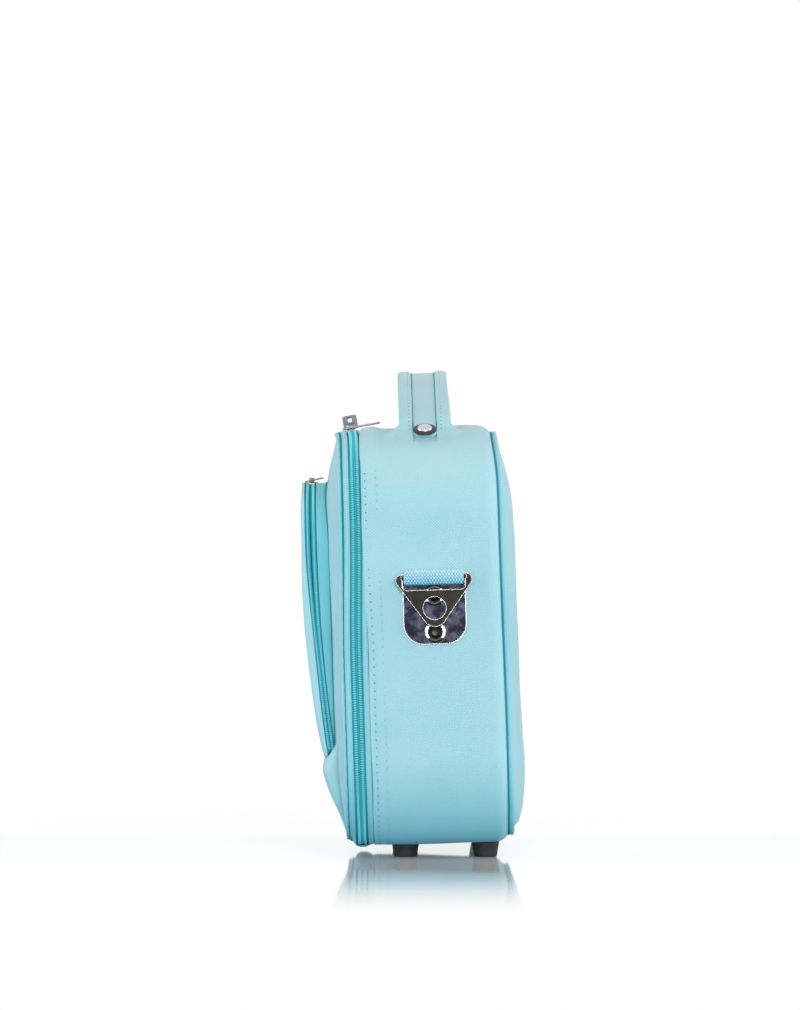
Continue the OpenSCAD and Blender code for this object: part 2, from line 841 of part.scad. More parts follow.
module pocket_zip_tape_rear() {
    color(zip_blue) pocket_zip_band(pocket_tape_in, pk * tape_t, layer_gap - pocket_zip_w / 2,
        -pk * coil_gap / 2, layer_gap);
}

module pocket_zip_coil_rear() {
    color(zip_blue) pocket_zip_band(pocket_tape_in - pk * coil_h - 0.02, pk * coil_h,
        -pk * (coil_gap / 2 + coil_w), -pk * coil_gap / 2, layer_gap);
}

module pocket_zip_tape_front() {
    color(zip_blue) pocket_zip_band(pocket_tape_in, pk * tape_t, pk * coil_gap / 2,
        pocket_zip_w / 2 - layer_gap, fold_clear);
}

module pocket_zip_coil_front() {
    color(zip_blue) pocket_zip_band(pocket_tape_in - pk * coil_h - 0.02, pk * coil_h,
        pk * coil_gap / 2, pk * (coil_gap / 2 + coil_w), fold_clear);
}

module pocket_flap() {
    color(fabric) stand() intersection() {
        difference() {
            pocket_block(0, pocket_foot_y);
            intersection() {
                union() {
                    pocket_block(pocket_wall, pocket_foot_y - 1);
                    behind_zip(pocket_zip_w / 2);
                }
                behind_flap(-pocket_wall);
            }
        }
        behind_flap(0);
        above_fold(fold_clear);
    }
}

module flap_lining() {
    color(lining_grey) stand() difference() {
        intersection() {
            pocket_block(flap_lining_in, flap_lining_foot - half_h);
            behind_flap(-pocket_wall - layer_gap);
        }
        behind_flap(-pocket_wall - layer_gap - lining_t);
    }
}

// The padded cover over the pocket's foot: its side view, with x to the front and y up
module boot_side() {
    polygon([[lid_base_f, boot_foot - half_h], [lid_f + 0.8, boot_foot - half_h], boot_front,
        [fold_p[0] + 1.9, fold_p[1] - 5.4],
        fold_p,
        [lid_f + 4, fold_p[1] + (fold_p[0] - lid_f - 4) * tan(fold_turn)],
        [lid_base_f, fold_p[1] + (fold_p[0] - lid_f - 4) * tan(fold_turn)]]);
    translate(bump_p) circle(bump_r);
}

module pocket_boot() {
    color(fabric) stand() difference() {
        intersection() {
            translate([boot_w / 2, 0, 0]) rotate([0, -90, 0]) linear_extrude(boot_w)
                boot_side();
            translate([0, boot_foot, lid_base_f]) linear_extrude(30)
                rounded_rect(boot_w, body_h - boot_foot, boot_r);
        }
        translate([0, 0, lid_base_f]) dome_body(lid_r0, lid_rise);
    }
}

// Sliders: x runs along the zip, y to the back, z out from the tape

module slider() {
    translate([0, 0, plate_low]) linear_extrude(slider_t) rounded_rect(slider_l, slider_w, 2);
    translate([1.2 - slider_l / 2, coil_gap / 2 + coil_w + 0.2, 0.3])
        cube([slider_l - 2.4, 0.9, plate_low - 0.3 + eps]);
    translate([0, 0, -tape_t - 0.25 - slider_t]) linear_extrude(slider_t)
        rounded_rect(slider_l, zip_w - 1, 2);
    translate([slider_l / 2 - 3.6, 0.15 - coil_gap / 2, -tape_t - 0.25 - eps])
        cube([2.4, coil_gap - 0.3, tape_t + 0.25 + plate_low + 2 * eps]);
    translate([0, bail_w / 2, plate_low + slider_t - eps]) rotate([90, 0, 0]) linear_extrude(bail_w)
        difference() {
            bail_outline(bail_l / 2, bail_open + bail_t);
            bail_outline(bail_l / 2 - bail_leg, bail_open);
        }
}

module bail_outline(half, height) {
    translate([-half, 0]) square([2 * half, height - 1.6]);
    translate([1.6 - half, 0]) square([2 * half - 3.2, height]);
    for (x = [-1, 1]) translate([x * (half - 1.6), height - 1.6]) circle(1.6);
}

module pull() {
    translate([0, 0, -pull_t / 2]) linear_extrude(pull_t) difference() {
        translate([pull_l / 2, 0]) rounded_rect(pull_l, pull_w, 2.2);
        translate([pull_bar + eye_l / 2, 0]) rounded_rect(eye_l, eye_w, 0.5);
        hull() for (x = [pull_bar + eye_l + 3.6, pull_l - 4.4]) translate([x, 0]) circle(1.4);
    }
}

// A pull flopped to the side, with its eye round the bail's outer leg
module side_pull(tilt, turn) {
    translate([bail_l / 2 - bail_leg / 2, 0, pull_z]) rotate([tilt, 0, 0])
        rotate([0, 0, turn]) translate([-leg_in_eye, 0, 0]) pull();
}

// A pull raised along the zip, with its end bar under the bail
module raised_pull() {
    translate([pull_bar / 2 + bail_leg + 0.35 - bail_l / 2, 0, pull_z - 0.05]) rotate([far_roll, 0, 0])
        rotate([0, far_pitch, 0]) rotate([0, 0, 180]) translate([-pull_bar / 2, 0, 0]) pull();
}

module on_main_zip(x) {
    stand() translate([x, half_h - tape_sink, zip_mid]) rotate([-90, 0, 0]) children();
}

module on_pocket_zip() {
    c = arc_c(zip_foot_p, zip_top_p, zip_bow);
    y = pocket_top_y - pocket_tape_in;
    f = c[0] + sqrt(pow(arc_r(zip_foot_p, zip_top_p, zip_bow), 2) - pow(y - c[1], 2));
    stand() translate([pocket_slider_x, y, f]) rotate([-90, 0, 0]) scale(pk) children();
}

module main_slider_near() {
    color(chrome) on_main_zip(slider_x) slider();
}

module main_slider_far() {
    color(chrome) on_main_zip(-slider_x) mirror([1, 0, 0]) slider();
}

module main_pull_near() {
    color(chrome) on_main_zip(slider_x) side_pull(near_tilt, 90);
}

module main_pull_far() {
    color(chrome) on_main_zip(-slider_x) raised_pull();
}

module pocket_slider() {
    color(chrome) on_pocket_zip() slider();
}

module pocket_pull() {
    color(chrome) on_pocket_zip() side_pull(pocket_tilt, pocket_turn);
}

side_gusset();
gusset_board();
body_lining();
back_panel();
back_board();
back_piping();
base_board();
body_strip();
body_zip_tape();
body_zip_coil();
body_hinge_tape();
handle_bands();
handle_strip();
handle_core();
handle_lining();
handle_rivets();
handle_washers();
handle_backing_washers();
feet();
foot_screws();
foot_nuts();
anchor_plates();
anchor_webbing();
anchor_rivets();
anchor_backing_plates();
lid_strip();
lid_zip_tape();
lid_zip_coil();
lid_hinge_tape();
lid_panel();
lid_board();
lid_lining();
lid_piping();
pocket_bellows();
pocket_zip_tape_rear();
pocket_zip_coil_rear();
pocket_boot();
pocket_flap();
flap_lining();
pocket_zip_tape_front();
pocket_zip_coil_front();
main_slider_near();
main_pull_near();
main_slider_far();
main_pull_far();
pocket_slider();
pocket_pull();
strap_ring_right();
strap_ring_left();
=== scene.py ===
import math

import bmesh
import bpy
import numpy as np
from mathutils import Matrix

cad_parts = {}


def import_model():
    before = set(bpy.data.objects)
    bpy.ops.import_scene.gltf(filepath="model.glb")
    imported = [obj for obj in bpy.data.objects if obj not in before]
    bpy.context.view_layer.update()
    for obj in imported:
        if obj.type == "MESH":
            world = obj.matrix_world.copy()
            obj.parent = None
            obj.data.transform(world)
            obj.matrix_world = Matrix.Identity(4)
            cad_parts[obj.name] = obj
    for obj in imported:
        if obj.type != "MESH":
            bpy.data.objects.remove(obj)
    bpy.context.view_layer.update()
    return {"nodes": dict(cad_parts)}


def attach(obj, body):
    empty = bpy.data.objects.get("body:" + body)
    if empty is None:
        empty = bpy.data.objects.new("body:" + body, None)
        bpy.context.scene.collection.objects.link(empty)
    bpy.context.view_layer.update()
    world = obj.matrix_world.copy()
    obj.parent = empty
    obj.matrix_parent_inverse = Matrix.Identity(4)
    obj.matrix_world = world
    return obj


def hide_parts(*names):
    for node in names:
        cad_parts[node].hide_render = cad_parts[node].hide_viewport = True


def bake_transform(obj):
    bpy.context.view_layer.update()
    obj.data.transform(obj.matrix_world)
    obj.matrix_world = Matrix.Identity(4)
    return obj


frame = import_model()
nodes = frame["nodes"]

# Places are given in mm in the case's own upright frame: x across, h above the body's bottom,
# f ahead of the gusset's middle. LEAN is the case's forward lean on its feet.
LEAN = math.radians(1.75)
SIDE_X, SIDE_H, MIDDLE_H = 112.0, 77.5, 133.5
PULL_X = 78.0
TAU = 2 * math.pi


def world(x, h, f):
    """Metres in the row frame of a point of the case: turned by the lean about the middle of the
    bottom, y = 17.5 - f cos - h sin and z = 9 - f sin + h cos."""
    x, h, f = np.broadcast_arrays(x, h, f)
    y = 17.5 - f * math.cos(LEAN) - h * math.sin(LEAN)
    z = 9 - f * math.sin(LEAN) + h * math.cos(LEAN)
    return np.stack([x, y, z], -1) / 1000


def direction(x, h, f):
    """The same turn for a direction, without the place."""
    return world(x, h, f) - world(0, 0, 0)


def mesh_object(name, mesh, centre=None):
    """Closes seams and poles, points the faces outwards, or away from centre, and shades smooth."""
    shell = bmesh.new()
    shell.from_mesh(mesh)
    bmesh.ops.remove_doubles(shell, verts=shell.verts, dist=2e-6)
    bmesh.ops.recalc_face_normals(shell, faces=shell.faces)
    if centre is not None:
        middle = np.array([face.calc_center_median() for face in shell.faces]) - centre
        normal = np.array([face.normal for face in shell.faces])
        if (middle * normal).sum() < 0:
            bmesh.ops.reverse_faces(shell, faces=shell.faces)
    shell.to_mesh(mesh)
    shell.free()
    mesh.shade_smooth()
    made = bpy.data.objects.new(name, mesh)
    bpy.context.scene.collection.objects.link(made)
    return made


def surface(name, points, u, v, loop_u=False, loop_v=False, caps=False, centre=None):
    """A grid of points, rows by columns, as quads: rows and columns meet themselves where they
    loop, caps fill the first and last row, and the UV map holds the lengths u by row and v by
    column, or both by point, in metres."""
    rows, columns = points.shape[:2]
    i = np.arange(rows if loop_u else rows - 1)[:, None]
    j = np.arange(columns if loop_v else columns - 1)[None, :]
    corners = ((i, j), (i + 1, j), (i + 1, j + 1), (i, j + 1))
    quads = np.stack(
        np.broadcast_arrays(*[a % rows * columns + b % columns for a, b in corners]), -1
    ).reshape(-1, 4)
    if u.ndim == 2:
        uv = np.stack([u, v], -1).reshape(-1, 2)[quads]
    else:
        uv = np.stack([np.stack(np.broadcast_arrays(u[a], v[b]), -1) for a, b in corners], 2)
    faces = quads.tolist()
    uv = uv.reshape(-1, 2)
    if caps:
        faces += [list(range(columns)), list(range((rows - 1) * columns, rows * columns))]
        uv = np.concatenate([uv, np.zeros((2 * columns, 2))])
    mesh = bpy.data.meshes.new(name)
    mesh.from_pydata(points.reshape(-1, 3).tolist(), [], faces)
    mesh.uv_layers.new(name="UVMap").data.foreach_set("uv", uv.ravel())
    return mesh_object(name, mesh, centre)


def lengths(points):
    """Distance along a line of points, from its first, in metres."""
    steps = np.linalg.norm(np.diff(points, axis=0), axis=1)
    return np.concatenate([[0], np.cumsum(steps)]) / 1000


def beads(name, at, along, across, out, rings=5, sides=6):
    """Many small pillows in one mesh: each is an ellipsoid, squared a little, whose half lengths
    are the vectors along, across and out, with its middle at the point at."""
    turn = np.linspace(0, math.pi, rings)[1:-1]
    side = np.arange(sides) * TAU / sides
    ring = np.stack(
        np.broadcast_arrays(
            np.sign(np.cos(turn))[:, None] * np.abs(np.cos(turn))[:, None] ** 0.7,
            np.sin(turn)[:, None] ** 0.7 * np.cos(side),
            np.sin(turn)[:, None] ** 0.7 * np.sin(side),
        ),
        -1,
    ).reshape(-1, 3)
    shape = np.concatenate([[[1, 0, 0]], ring, [[-1, 0, 0]]])
    points = (
        at[:, None, :]
        + shape[:, 0, None] * along[:, None, :]
        + shape[:, 1, None] * across[:, None, :]
        + shape[:, 2, None] * out[:, None, :]
    )
    k = np.arange(sides)
    after = (k + 1) % sides
    last = (rings - 3) * sides + 1
    start = np.repeat(np.arange(rings - 3) * sides + 1, sides)
    low, high = np.tile(k, rings - 3) + start, np.tile(after, rings - 3) + start
    quads = np.stack([low, high, high + sides, low + sides], -1)
    ends = np.concatenate(
        [
            np.stack([0 * k, after + 1, k + 1], -1),
            np.stack([0 * k + len(shape) - 1, k + last, after + last], -1),
        ]
    )
    first = np.arange(len(at))[:, None, None] * len(shape)
    faces = (quads + first).reshape(-1, 4).tolist() + (ends + first).reshape(-1, 3).tolist()
    mesh = bpy.data.meshes.new(name)
    mesh.from_pydata(points.reshape(-1, 3).tolist(), [], faces)
    return mesh_object(name, mesh)


def unevenness(a, b, size, seed):
    """Smooth hand-made unevenness, about -1 to 1: the sum of five sine waves of lengths near size
    that cross at fixed turns."""
    fixed = np.random.default_rng(seed).random((5, 3))
    total = 0
    for turn, length, phase in fixed:
        reach = size * (0.7 + 0.8 * length)
        total = total + np.sin(
            TAU * ((a * math.cos(TAU * turn) + b * math.sin(TAU * turn)) / reach + phase)
        )
    return total / 2.5


# Paths: a centre line c and outward directions n, so that a point at radius r is c + r n


def case_path(step, radius=56.0, bottom=True):
    """The rounded rectangle of the case from the middle of its bottom to the right and up, or
    without the bottom's straight part: straight runs of corner centres joined by quarter turns."""
    right, top = SIDE_X, SIDE_H
    runs = [((right, -top), (right, -top), -90), ((right, -top), (right, top), 0)]
    runs += [((right, top), (right, top), 0), ((right, top), (-right, top), 90)]
    runs += [((-right, top), (-right, top), 90), ((-right, top), (-right, -top), 180)]
    runs += [((-right, -top), (-right, -top), 180)]
    if bottom:
        runs = [((0, -top), (right, -top), -90)] + runs + [((-right, -top), (0, -top), 270)]
    centres, turns = [], []
    for start, end, turn in runs:
        corner = start == end
        length = radius * math.pi / 2 if corner else math.dist(start, end)
        t = np.arange(max(1, round(length / step))) / max(1, round(length / step))
        centres.append(np.array(start) + (np.array(end) - start) * t[:, None])
        turns.append(turn + (90 * t if corner else 0 * t))
    if not bottom:
        centres.append([[-right, -top]])
        turns.append([270])
    turn = np.radians(np.concatenate(turns))
    return np.concatenate(centres), np.stack([np.cos(turn), np.sin(turn)], -1)


def pocket_path(step, foot):
    """The pocket's outline from its right foot up, over its top and down to its left foot."""
    up = np.linspace(foot, 191.5, max(3, round((191.5 - foot) / step)))
    turn = np.linspace(0, math.pi / 2, max(5, round(66 / step)))[1:]
    over = np.linspace(96, -96, max(5, round(192 / step)))[1:]
    centres = np.concatenate(
        [
            np.stack([0 * up + 96, up], -1),
            np.stack([0 * turn + 96, 0 * turn + 191.5], -1),
            np.stack([over, 0 * over + 191.5], -1),
            np.stack([0 * turn - 96, 0 * turn + 191.5], -1),
            np.stack([0 * up - 96, up[::-1]], -1)[1:],
        ]
    )
    turns = np.concatenate(
        [0 * up, turn, 0 * over + math.pi / 2, turn + math.pi / 2, 0 * up[1:] + math.pi]
    )
    return centres, np.stack([np.cos(turns), np.sin(turns)], -1)


def handle_path(step, end=40.0):
    """The handle's underside from its right tab to its left one: an arc on the corner of radius
    56.1, a straight flank of 22.5 and an arch of radius 258.6, mirrored at the middle."""
    slope = math.radians(27)
    leave = np.array([112 + 56.1 * math.sin(slope), 211 + 56.1 * math.cos(slope)])
    along = np.array([-math.cos(slope), math.sin(slope)])
    arch = leave + 22.5 * along - 258.6 * np.array([math.sin(slope), math.cos(slope)])
    tab = np.radians(np.linspace(end, 27, max(3, round(56.1 * math.radians(end - 27) / step)) + 1))
    flank = np.linspace(0, 22.5, max(3, round(22.5 / step)) + 1)[1:, None]
    bow = np.linspace(slope, 0, max(3, round(258.6 * slope / step)) + 1)[1:]
    points = np.concatenate(
        [
            np.array([112, 211]) + 56.1 * np.stack([np.sin(tab), np.cos(tab)], -1),
            leave + flank * along,
            arch + 258.6 * np.stack([np.sin(bow), np.cos(bow)], -1),
        ]
    )
    points[-1, 0] = 0
    turn = np.concatenate([tab, 0 * flank[:, 0] + slope, bow])
    normals = np.stack([np.sin(turn), np.cos(turn)], -1)
    mirror = np.array([-1, 1])
    return (
        np.concatenate([points, points[-2::-1] * mirror]),
        np.concatenate([normals, normals[-2::-1] * mirror]),
    )


def bow_depth(foot, top, rise):
    """Depth by height on the arc through foot and top, given as (depth, height), that bows forward
    by rise: the arc's radius is (half chord squared + rise squared) / twice the rise."""
    foot, top = np.array(foot), np.array(top)
    chord = top - foot
    reach = np.linalg.norm(chord)
    radius = ((reach / 2) ** 2 + rise**2) / (2 * rise)
    middle = (foot + top) / 2 - np.array([chord[1], -chord[0]]) / reach * (radius - rise)
    return lambda h: middle[0] + np.sqrt(radius**2 - (h - middle[1]) ** 2)


zip_line = bow_depth((69.4, 62.0), (77.0, 207.0), 2.2)
flap_front = bow_depth((71.9, 55.7), (80.6, 233.5), 7.1)


def fold_height(f, clear=0.0):
    """Height of the fold between the pocket and the cover over its foot, at a depth: a plane that
    passes (72.1, 58) and falls to the front at 47 degrees."""
    return 58 + (72.1 - f) * math.tan(math.radians(47)) + clear / math.cos(math.radians(47))


def beyond(x, h):
    """Distance outside the flat middle of the front and back panels."""
    return np.hypot(np.maximum(np.abs(x) - SIDE_X, 0), np.maximum(np.abs(h - MIDDLE_H) - SIDE_H, 0))


def dome(half, rise, outside):
    """Height of a dome of that half width and rise, at a distance outside its flat middle."""
    radius = (half**2 + rise**2) / (2 * rise)
    return rise - radius + np.sqrt(np.maximum(radius**2 - outside**2, 0))


def lid_face(x, h):
    """Depth of the lid's front."""
    return 58.6 + dome(51.4, 9.6, beyond(x, h))


def smooth(t):
    """0 to 1 with a level start and end."""
    t = np.clip(t, 0, 1)
    return t * t * (3 - 2 * t)


def spaced(h, at, value):
    """Values by height, joined by straight lines and smoothed by the mean over five near heights."""
    return sum(np.interp(h + k, at, value) for k in (-8, -4, 0, 4, 8)) / 5


def pinch(h):
    """How far the back seam lies ahead of a straight line: behind it below, ahead at the top."""
    return spaced(h, [-20, 40, 80, 188, 228, 242, 264], [-1.0, -1.4, -1.5, -0.45, -0.4, 0.2, 3.1])


def drawn(x, h, f=0.0):
    """How far the zip and its edges bow back on the upper part of the sides."""
    return -2.3 * smooth((h - 115) / 100) * smooth((np.abs(x) - 92) / 50)


def tucked(x, h, f):
    """The lid's lower edge is drawn up towards its seam."""
    return -2.3 * smooth((16 - h) / 14) * smooth((f - 54.5) / 3)


def back_sag(h):
    """How far the back's padding lies ahead of the plain dome at each height: it has slumped, so
    that it is flatter above and fuller at the foot."""
    at = [-20, 5, 13, 24, 40, 60, 100, 150, 190, 215, 232, 246, 262, 290]
    return spaced(
        h, at, [0.5, -2.2, -3.4, -0.4, 2.0, 2.9, 3.7, 3.8, 3.3, 4.3, 4.4, 2.4, -1.0, -2.0]
    )


def back_face(x, h, under=0.0):
    """Depth of the back's outer face, or of a layer under it: the dome less its sag, with the seam
    pulled forward at the top."""
    rise = dome(48.3, 12.6, beyond(x, h))
    return -43.5 - rise + back_sag(h) * np.clip(rise / 2.2, 0, 1) + pinch(h) + under


def box_section(r0, r1, f0, f1, edge, across=4):
    """A closed section with its corners rounded by edge, as radii and depths."""
    turn = np.radians(np.array([0, 30, 60, 90]))
    centres = [(r1 - edge, f1 - edge, 0), (r0 + edge, f1 - edge, 90), (r0 + edge, f0 + edge, 180)]
    centres += [(r1 - edge, f0 + edge, 270)]
    r, f = [], []
    for cr, cf, start in centres:
        r.append(cr + edge * np.cos(turn + math.radians(start)))
        f.append(cf + edge * np.sin(turn + math.radians(start)))
    t = np.linspace(0, 1, across + 2)[1:-1]
    r.append(0 * t + r1)
    f.append(f0 + edge + (f1 - f0 - 2 * edge) * t)
    return np.concatenate(r), np.concatenate(f)


def round_section(r, f, d, count=16):
    """A closed round section of diameter d."""
    turn = np.arange(count) * TAU / count
    return r + d / 2 * np.cos(turn), f + d / 2 * np.sin(turn)


def closed_lengths(r, f):
    line = np.stack([r, f], -1)
    return lengths(np.concatenate([line, line[:1]]))


def round_case(name, section, step=4.0, bottom=True, swell=0.0, shift=0.0):
    """A closed section, radius and depth, carried round the case. swell is added to its radius
    and shift to its depth, each a function of x, h and depth, or 0."""
    r, f = section
    c, n = case_path(step, bottom=bottom)
    x = c[:, :1] + r * n[:, :1]
    h = MIDDLE_H + c[:, 1:] + r * n[:, 1:]
    more = swell(x, h, f + 0 * x) if callable(swell) else swell + 0 * x
    depth = f + (shift(x, h, f + 0 * x) if callable(shift) else shift + 0 * x)
    points = world(x + more * n[:, :1], h + more * n[:, 1:], depth)
    line = c + 56 * n
    u = lengths(np.concatenate([line, line[:1]]) if bottom else line)
    return surface(name, points, u, closed_lengths(r, f), bottom, True, caps=not bottom)


def case_beads(name, r, f, pitch, size, bottom=True, shift=0.0, skew=0.0, bow=1.0, top=300):
    """Pillows along the case's sides at a radius and depth, a pitch apart: size is their length
    along the path, across it and outwards. bow is their share of the zip's bow back, and top the
    height above which there are none."""
    c, n = case_path(pitch, r, bottom)
    kept = MIDDLE_H + c[:, 1] + r * n[:, 1] < top
    c, n = c[kept], n[kept]
    f = f + bow * drawn(c[:, 0] + r * n[:, 0], MIDDLE_H + c[:, 1] + r * n[:, 1])
    t = np.stack([-n[:, 1], n[:, 0]], -1)
    reach = r + tucked(0, MIDDLE_H + c[:, 1] + r * n[:, 1], f)
    place = c + reach[:, None] * n + shift * pitch * t
    lie = math.radians(skew)
    along = direction(t[:, 0] * math.cos(lie), t[:, 1] * math.cos(lie), math.sin(lie) + 0 * f)
    across = direction(-t[:, 0] * math.sin(lie), -t[:, 1] * math.sin(lie), math.cos(lie) + 0 * f)
    out = direction(n[:, 0], n[:, 1], 0)
    return beads(
        name,
        world(place[:, 0], MIDDLE_H + place[:, 1], f),
        along * size[0] / 2,
        across * size[1] / 2,
        out * size[2] / 2,
    )


def joined(made, other, centre):
    """Adds a second surface to a first and closes the seam between them."""
    name, mesh = made.name, made.data
    shell = bmesh.new()
    shell.from_mesh(mesh)
    shell.from_mesh(other.data)
    shell.to_mesh(mesh)
    shell.free()
    bpy.data.objects.remove(other)
    bpy.data.objects.remove(made)
    return mesh_object(name, mesh, centre)


def panel(name, half, face, sign, wall, seed, soft):
    """A padded sheet over the front or the back: rings run in from the seam to the edge of the
    flat middle, which is a grid. Near the seam the sheet rolls in as its padding pulls against the
    stitches, with small puckers, and soft is how uneven it is elsewhere."""

    def place(x, h, outside, drop):
        near = np.exp(-(((half - outside) / 7) ** 2))
        along = np.arctan2(h - MIDDLE_H, x)
        pucker = np.sin(along * 92 + 2.2 * np.sin(along * 13)) * near * 0.2
        away = 1 - np.exp(-(((half - outside) / 12) ** 2))
        lift = pucker - drop + away * soft * unevenness(x, h, 95, seed)
        return world(x, h, face(x, h) + sign * lift)

    c, n = case_path(4.0)
    turn = np.linspace(0, math.pi / 2, 6)
    r = np.concatenate(
        [[half - 0.6], half - 1.6 + 1.6 * np.cos(turn), np.linspace(half - 1.6, 0, 17)[1:]]
    )
    drop = np.concatenate([[1.6], 1.2 - 1.2 * np.sin(turn), np.zeros(16)])
    x = c[:, :1] + r * n[:, :1]
    h = MIDDLE_H + c[:, 1:] + r * n[:, 1:]
    rings = surface(name, place(x, h, r + 0 * x, drop), x / 1000, h / 1000, True)
    x, h = np.linspace(-SIDE_X, SIDE_X, 57), np.linspace(-SIDE_H, SIDE_H, 40) + MIDDLE_H
    points = place(*np.meshgrid(x, h, indexing="ij"), 0, 0)
    middle = surface(name + "_middle", points, x / 1000, h / 1000)
    made = joined(rings, middle, world(0, MIDDLE_H, 0))
    thicken(made, wall)
    return made


def thicken(made, wall, offset=-1.0):
    """Gives a sheet its thickness in mm, behind its face."""
    solid = made.modifiers.new("wall", "SOLIDIFY")
    solid.thickness = wall / 1000
    solid.offset = offset
    solid.use_even_offset = False


# Materials


def linear(code):
    """sRGB hex to linear colour."""
    part = [int(code[k : k + 2], 16) / 255 for k in (1, 3, 5)]
    return [p / 12.92 if p <= 0.04045 else ((p + 0.055) / 1.055) ** 2.4 for p in part] + [1.0]


def add(tree, kind, settings, inputs):
    """Adds a node with its settings; an input that is another node's output is linked."""
    made = tree.nodes.new(kind)
    for key, value in settings.items():
        setattr(made, key, value)
    for key, value in inputs.items():
        if isinstance(value, bpy.types.NodeSocket):
            tree.links.new(value, made.inputs[key])
        else:
            made.inputs[key].default_value = value
    return made.outputs[0]


def start(name, **surface_values):
    """A material with its shader's own values set."""
    made = bpy.data.materials.new(name)
    made.use_nodes = True
    shader = made.node_tree.nodes["Principled BSDF"]
    for key, value in surface_values.items():
        shader.inputs[key.replace("_", " ")].default_value = value
    return made, made.node_tree, shader


def woven(name, pale, deep, thread, rib, relief, turn=45.0, blotch=0.16, **values):
    """Cloth: ribs at a turn to the piece's own UV map, crossed by threads, a little fuzz and broad
    changes of shade. thread and rib are the spacings in mm."""
    made, tree, shader = start(name, **values)
    uv = tree.nodes.new("ShaderNodeTexCoord").outputs["UV"]
    grid = add(tree, "ShaderNodeMapping", {}, {"Vector": uv, "Rotation": (0, 0, math.radians(turn))})
    # A wave's period is 2 pi / (20 scale) metres
    ribs = add(
        tree,
        "ShaderNodeTexWave",
        {"wave_type": "BANDS", "bands_direction": "X"},
        {"Vector": grid, "Scale": TAU / 20 / (rib / 1000), "Distortion": 0.5, "Detail": 1.0},
    )
    threads = add(
        tree,
        "ShaderNodeTexWave",
        {"wave_type": "BANDS", "bands_direction": "Y"},
        {"Vector": grid, "Scale": TAU / 20 / (thread / 1000), "Distortion": 0.6, "Detail": 1.0},
    )
    weave = add(tree, "ShaderNodeMath", {"operation": "MULTIPLY"}, {0: ribs, 1: threads})
    place = tree.nodes.new("ShaderNodeTexCoord").outputs["Object"]
    fuzz = add(tree, "ShaderNodeTexNoise", {}, {"Vector": place, "Scale": 700, "Detail": 3.0})
    broad = add(tree, "ShaderNodeTexNoise", {}, {"Vector": place, "Scale": 26, "Detail": 4.0})
    mixed = add(tree, "ShaderNodeMath", {"operation": "MULTIPLY_ADD"}, {0: fuzz, 1: 0.5, 2: weave})
    spread = add(tree, "ShaderNodeMath", {"operation": "SUBTRACT"}, {0: broad, 1: 0.5})
    shade = add(
        tree, "ShaderNodeMath", {"operation": "MULTIPLY_ADD"}, {0: spread, 1: -4 * blotch, 2: mixed}
    )
    ramp = tree.nodes.new("ShaderNodeValToRGB")
    ramp.color_ramp.elements[0].position = 0.12
    ramp.color_ramp.elements[0].color = linear(deep)
    ramp.color_ramp.elements[1].position = 0.85
    ramp.color_ramp.elements[1].color = linear(pale)
    tree.links.new(shade, ramp.inputs["Fac"])
    tree.links.new(ramp.outputs["Color"], shader.inputs["Base Color"])
    bump = add(tree, "ShaderNodeBump", {}, {"Height": mixed, "Distance": relief / 1000})
    tree.links.new(bump, shader.inputs["Normal"])
    return made


def metal(name, tone, rough, scratch, grain=900.0, wear=0.25, haze=None, rim=None, reach=0.45):
    """Plated metal: fine scratches and broad smudges change how sharply it reflects. haze is the
    colour of its smudges, and rim the colour painted along its edges, reach mm in: a painted
    highlight where it is pale and a painted dark reflection where it is dark."""
    made, tree, shader = start(name, Metallic=1.0, Base_Color=linear(tone), Roughness=rough)
    place = tree.nodes.new("ShaderNodeTexCoord").outputs["Object"]
    stretched = add(tree, "ShaderNodeMapping", {}, {"Vector": place, "Scale": (1, 1, 0.12)})
    lines = add(tree, "ShaderNodeTexNoise", {}, {"Vector": stretched, "Scale": grain, "Detail": 3.0})
    smudge = add(tree, "ShaderNodeTexNoise", {}, {"Vector": place, "Scale": 60, "Detail": 3.0})
    both = add(tree, "ShaderNodeMath", {"operation": "MULTIPLY_ADD"}, {0: smudge, 1: wear, 2: rough})
    tree.links.new(both, shader.inputs["Roughness"])
    bump = add(tree, "ShaderNodeBump", {}, {"Height": lines, "Distance": scratch / 1000})
    tree.links.new(bump, shader.inputs["Normal"])
    if rim:
        # Near an edge the rounded normal leaves the face's own, and there the rim colour is painted on
        rounded = add(tree, "ShaderNodeBevel", {"samples": 6}, {"Radius": reach / 1000})
        flat = tree.nodes.new("ShaderNodeNewGeometry").outputs["True Normal"]
        near = tree.nodes.new("ShaderNodeVectorMath")
        near.operation = "DOT_PRODUCT"
        tree.links.new(rounded, near.inputs[0])
        tree.links.new(flat, near.inputs[1])
        painted_edge_mask = add(
            tree, "ShaderNodeMapRange", {},
            {"Value": near.outputs["Value"], "From Min": 0.985, "From Max": 0.93},
        )
        cloud = add(tree, "ShaderNodeTexNoise", {}, {"Vector": place, "Scale": 210, "Detail": 5.0})
        shade = add(
            tree, "ShaderNodeMapRange", {},
            {"Value": cloud, "From Min": 0.44, "From Max": 0.74, "To Max": 0.5},
        )
        level = add(tree, "ShaderNodeMath", {"operation": "MAXIMUM"}, {0: painted_edge_mask, 1: shade})
        ramp = tree.nodes.new("ShaderNodeValToRGB")
        ramp.color_ramp.elements[0].color = linear(tone)
        ramp.color_ramp.elements[1].color = linear(rim)
        ramp.color_ramp.elements.new(0.5).color = linear(haze)
        tree.links.new(level, ramp.inputs["Fac"])
        tree.links.new(ramp.outputs["Color"], shader.inputs["Base Color"])
    return made


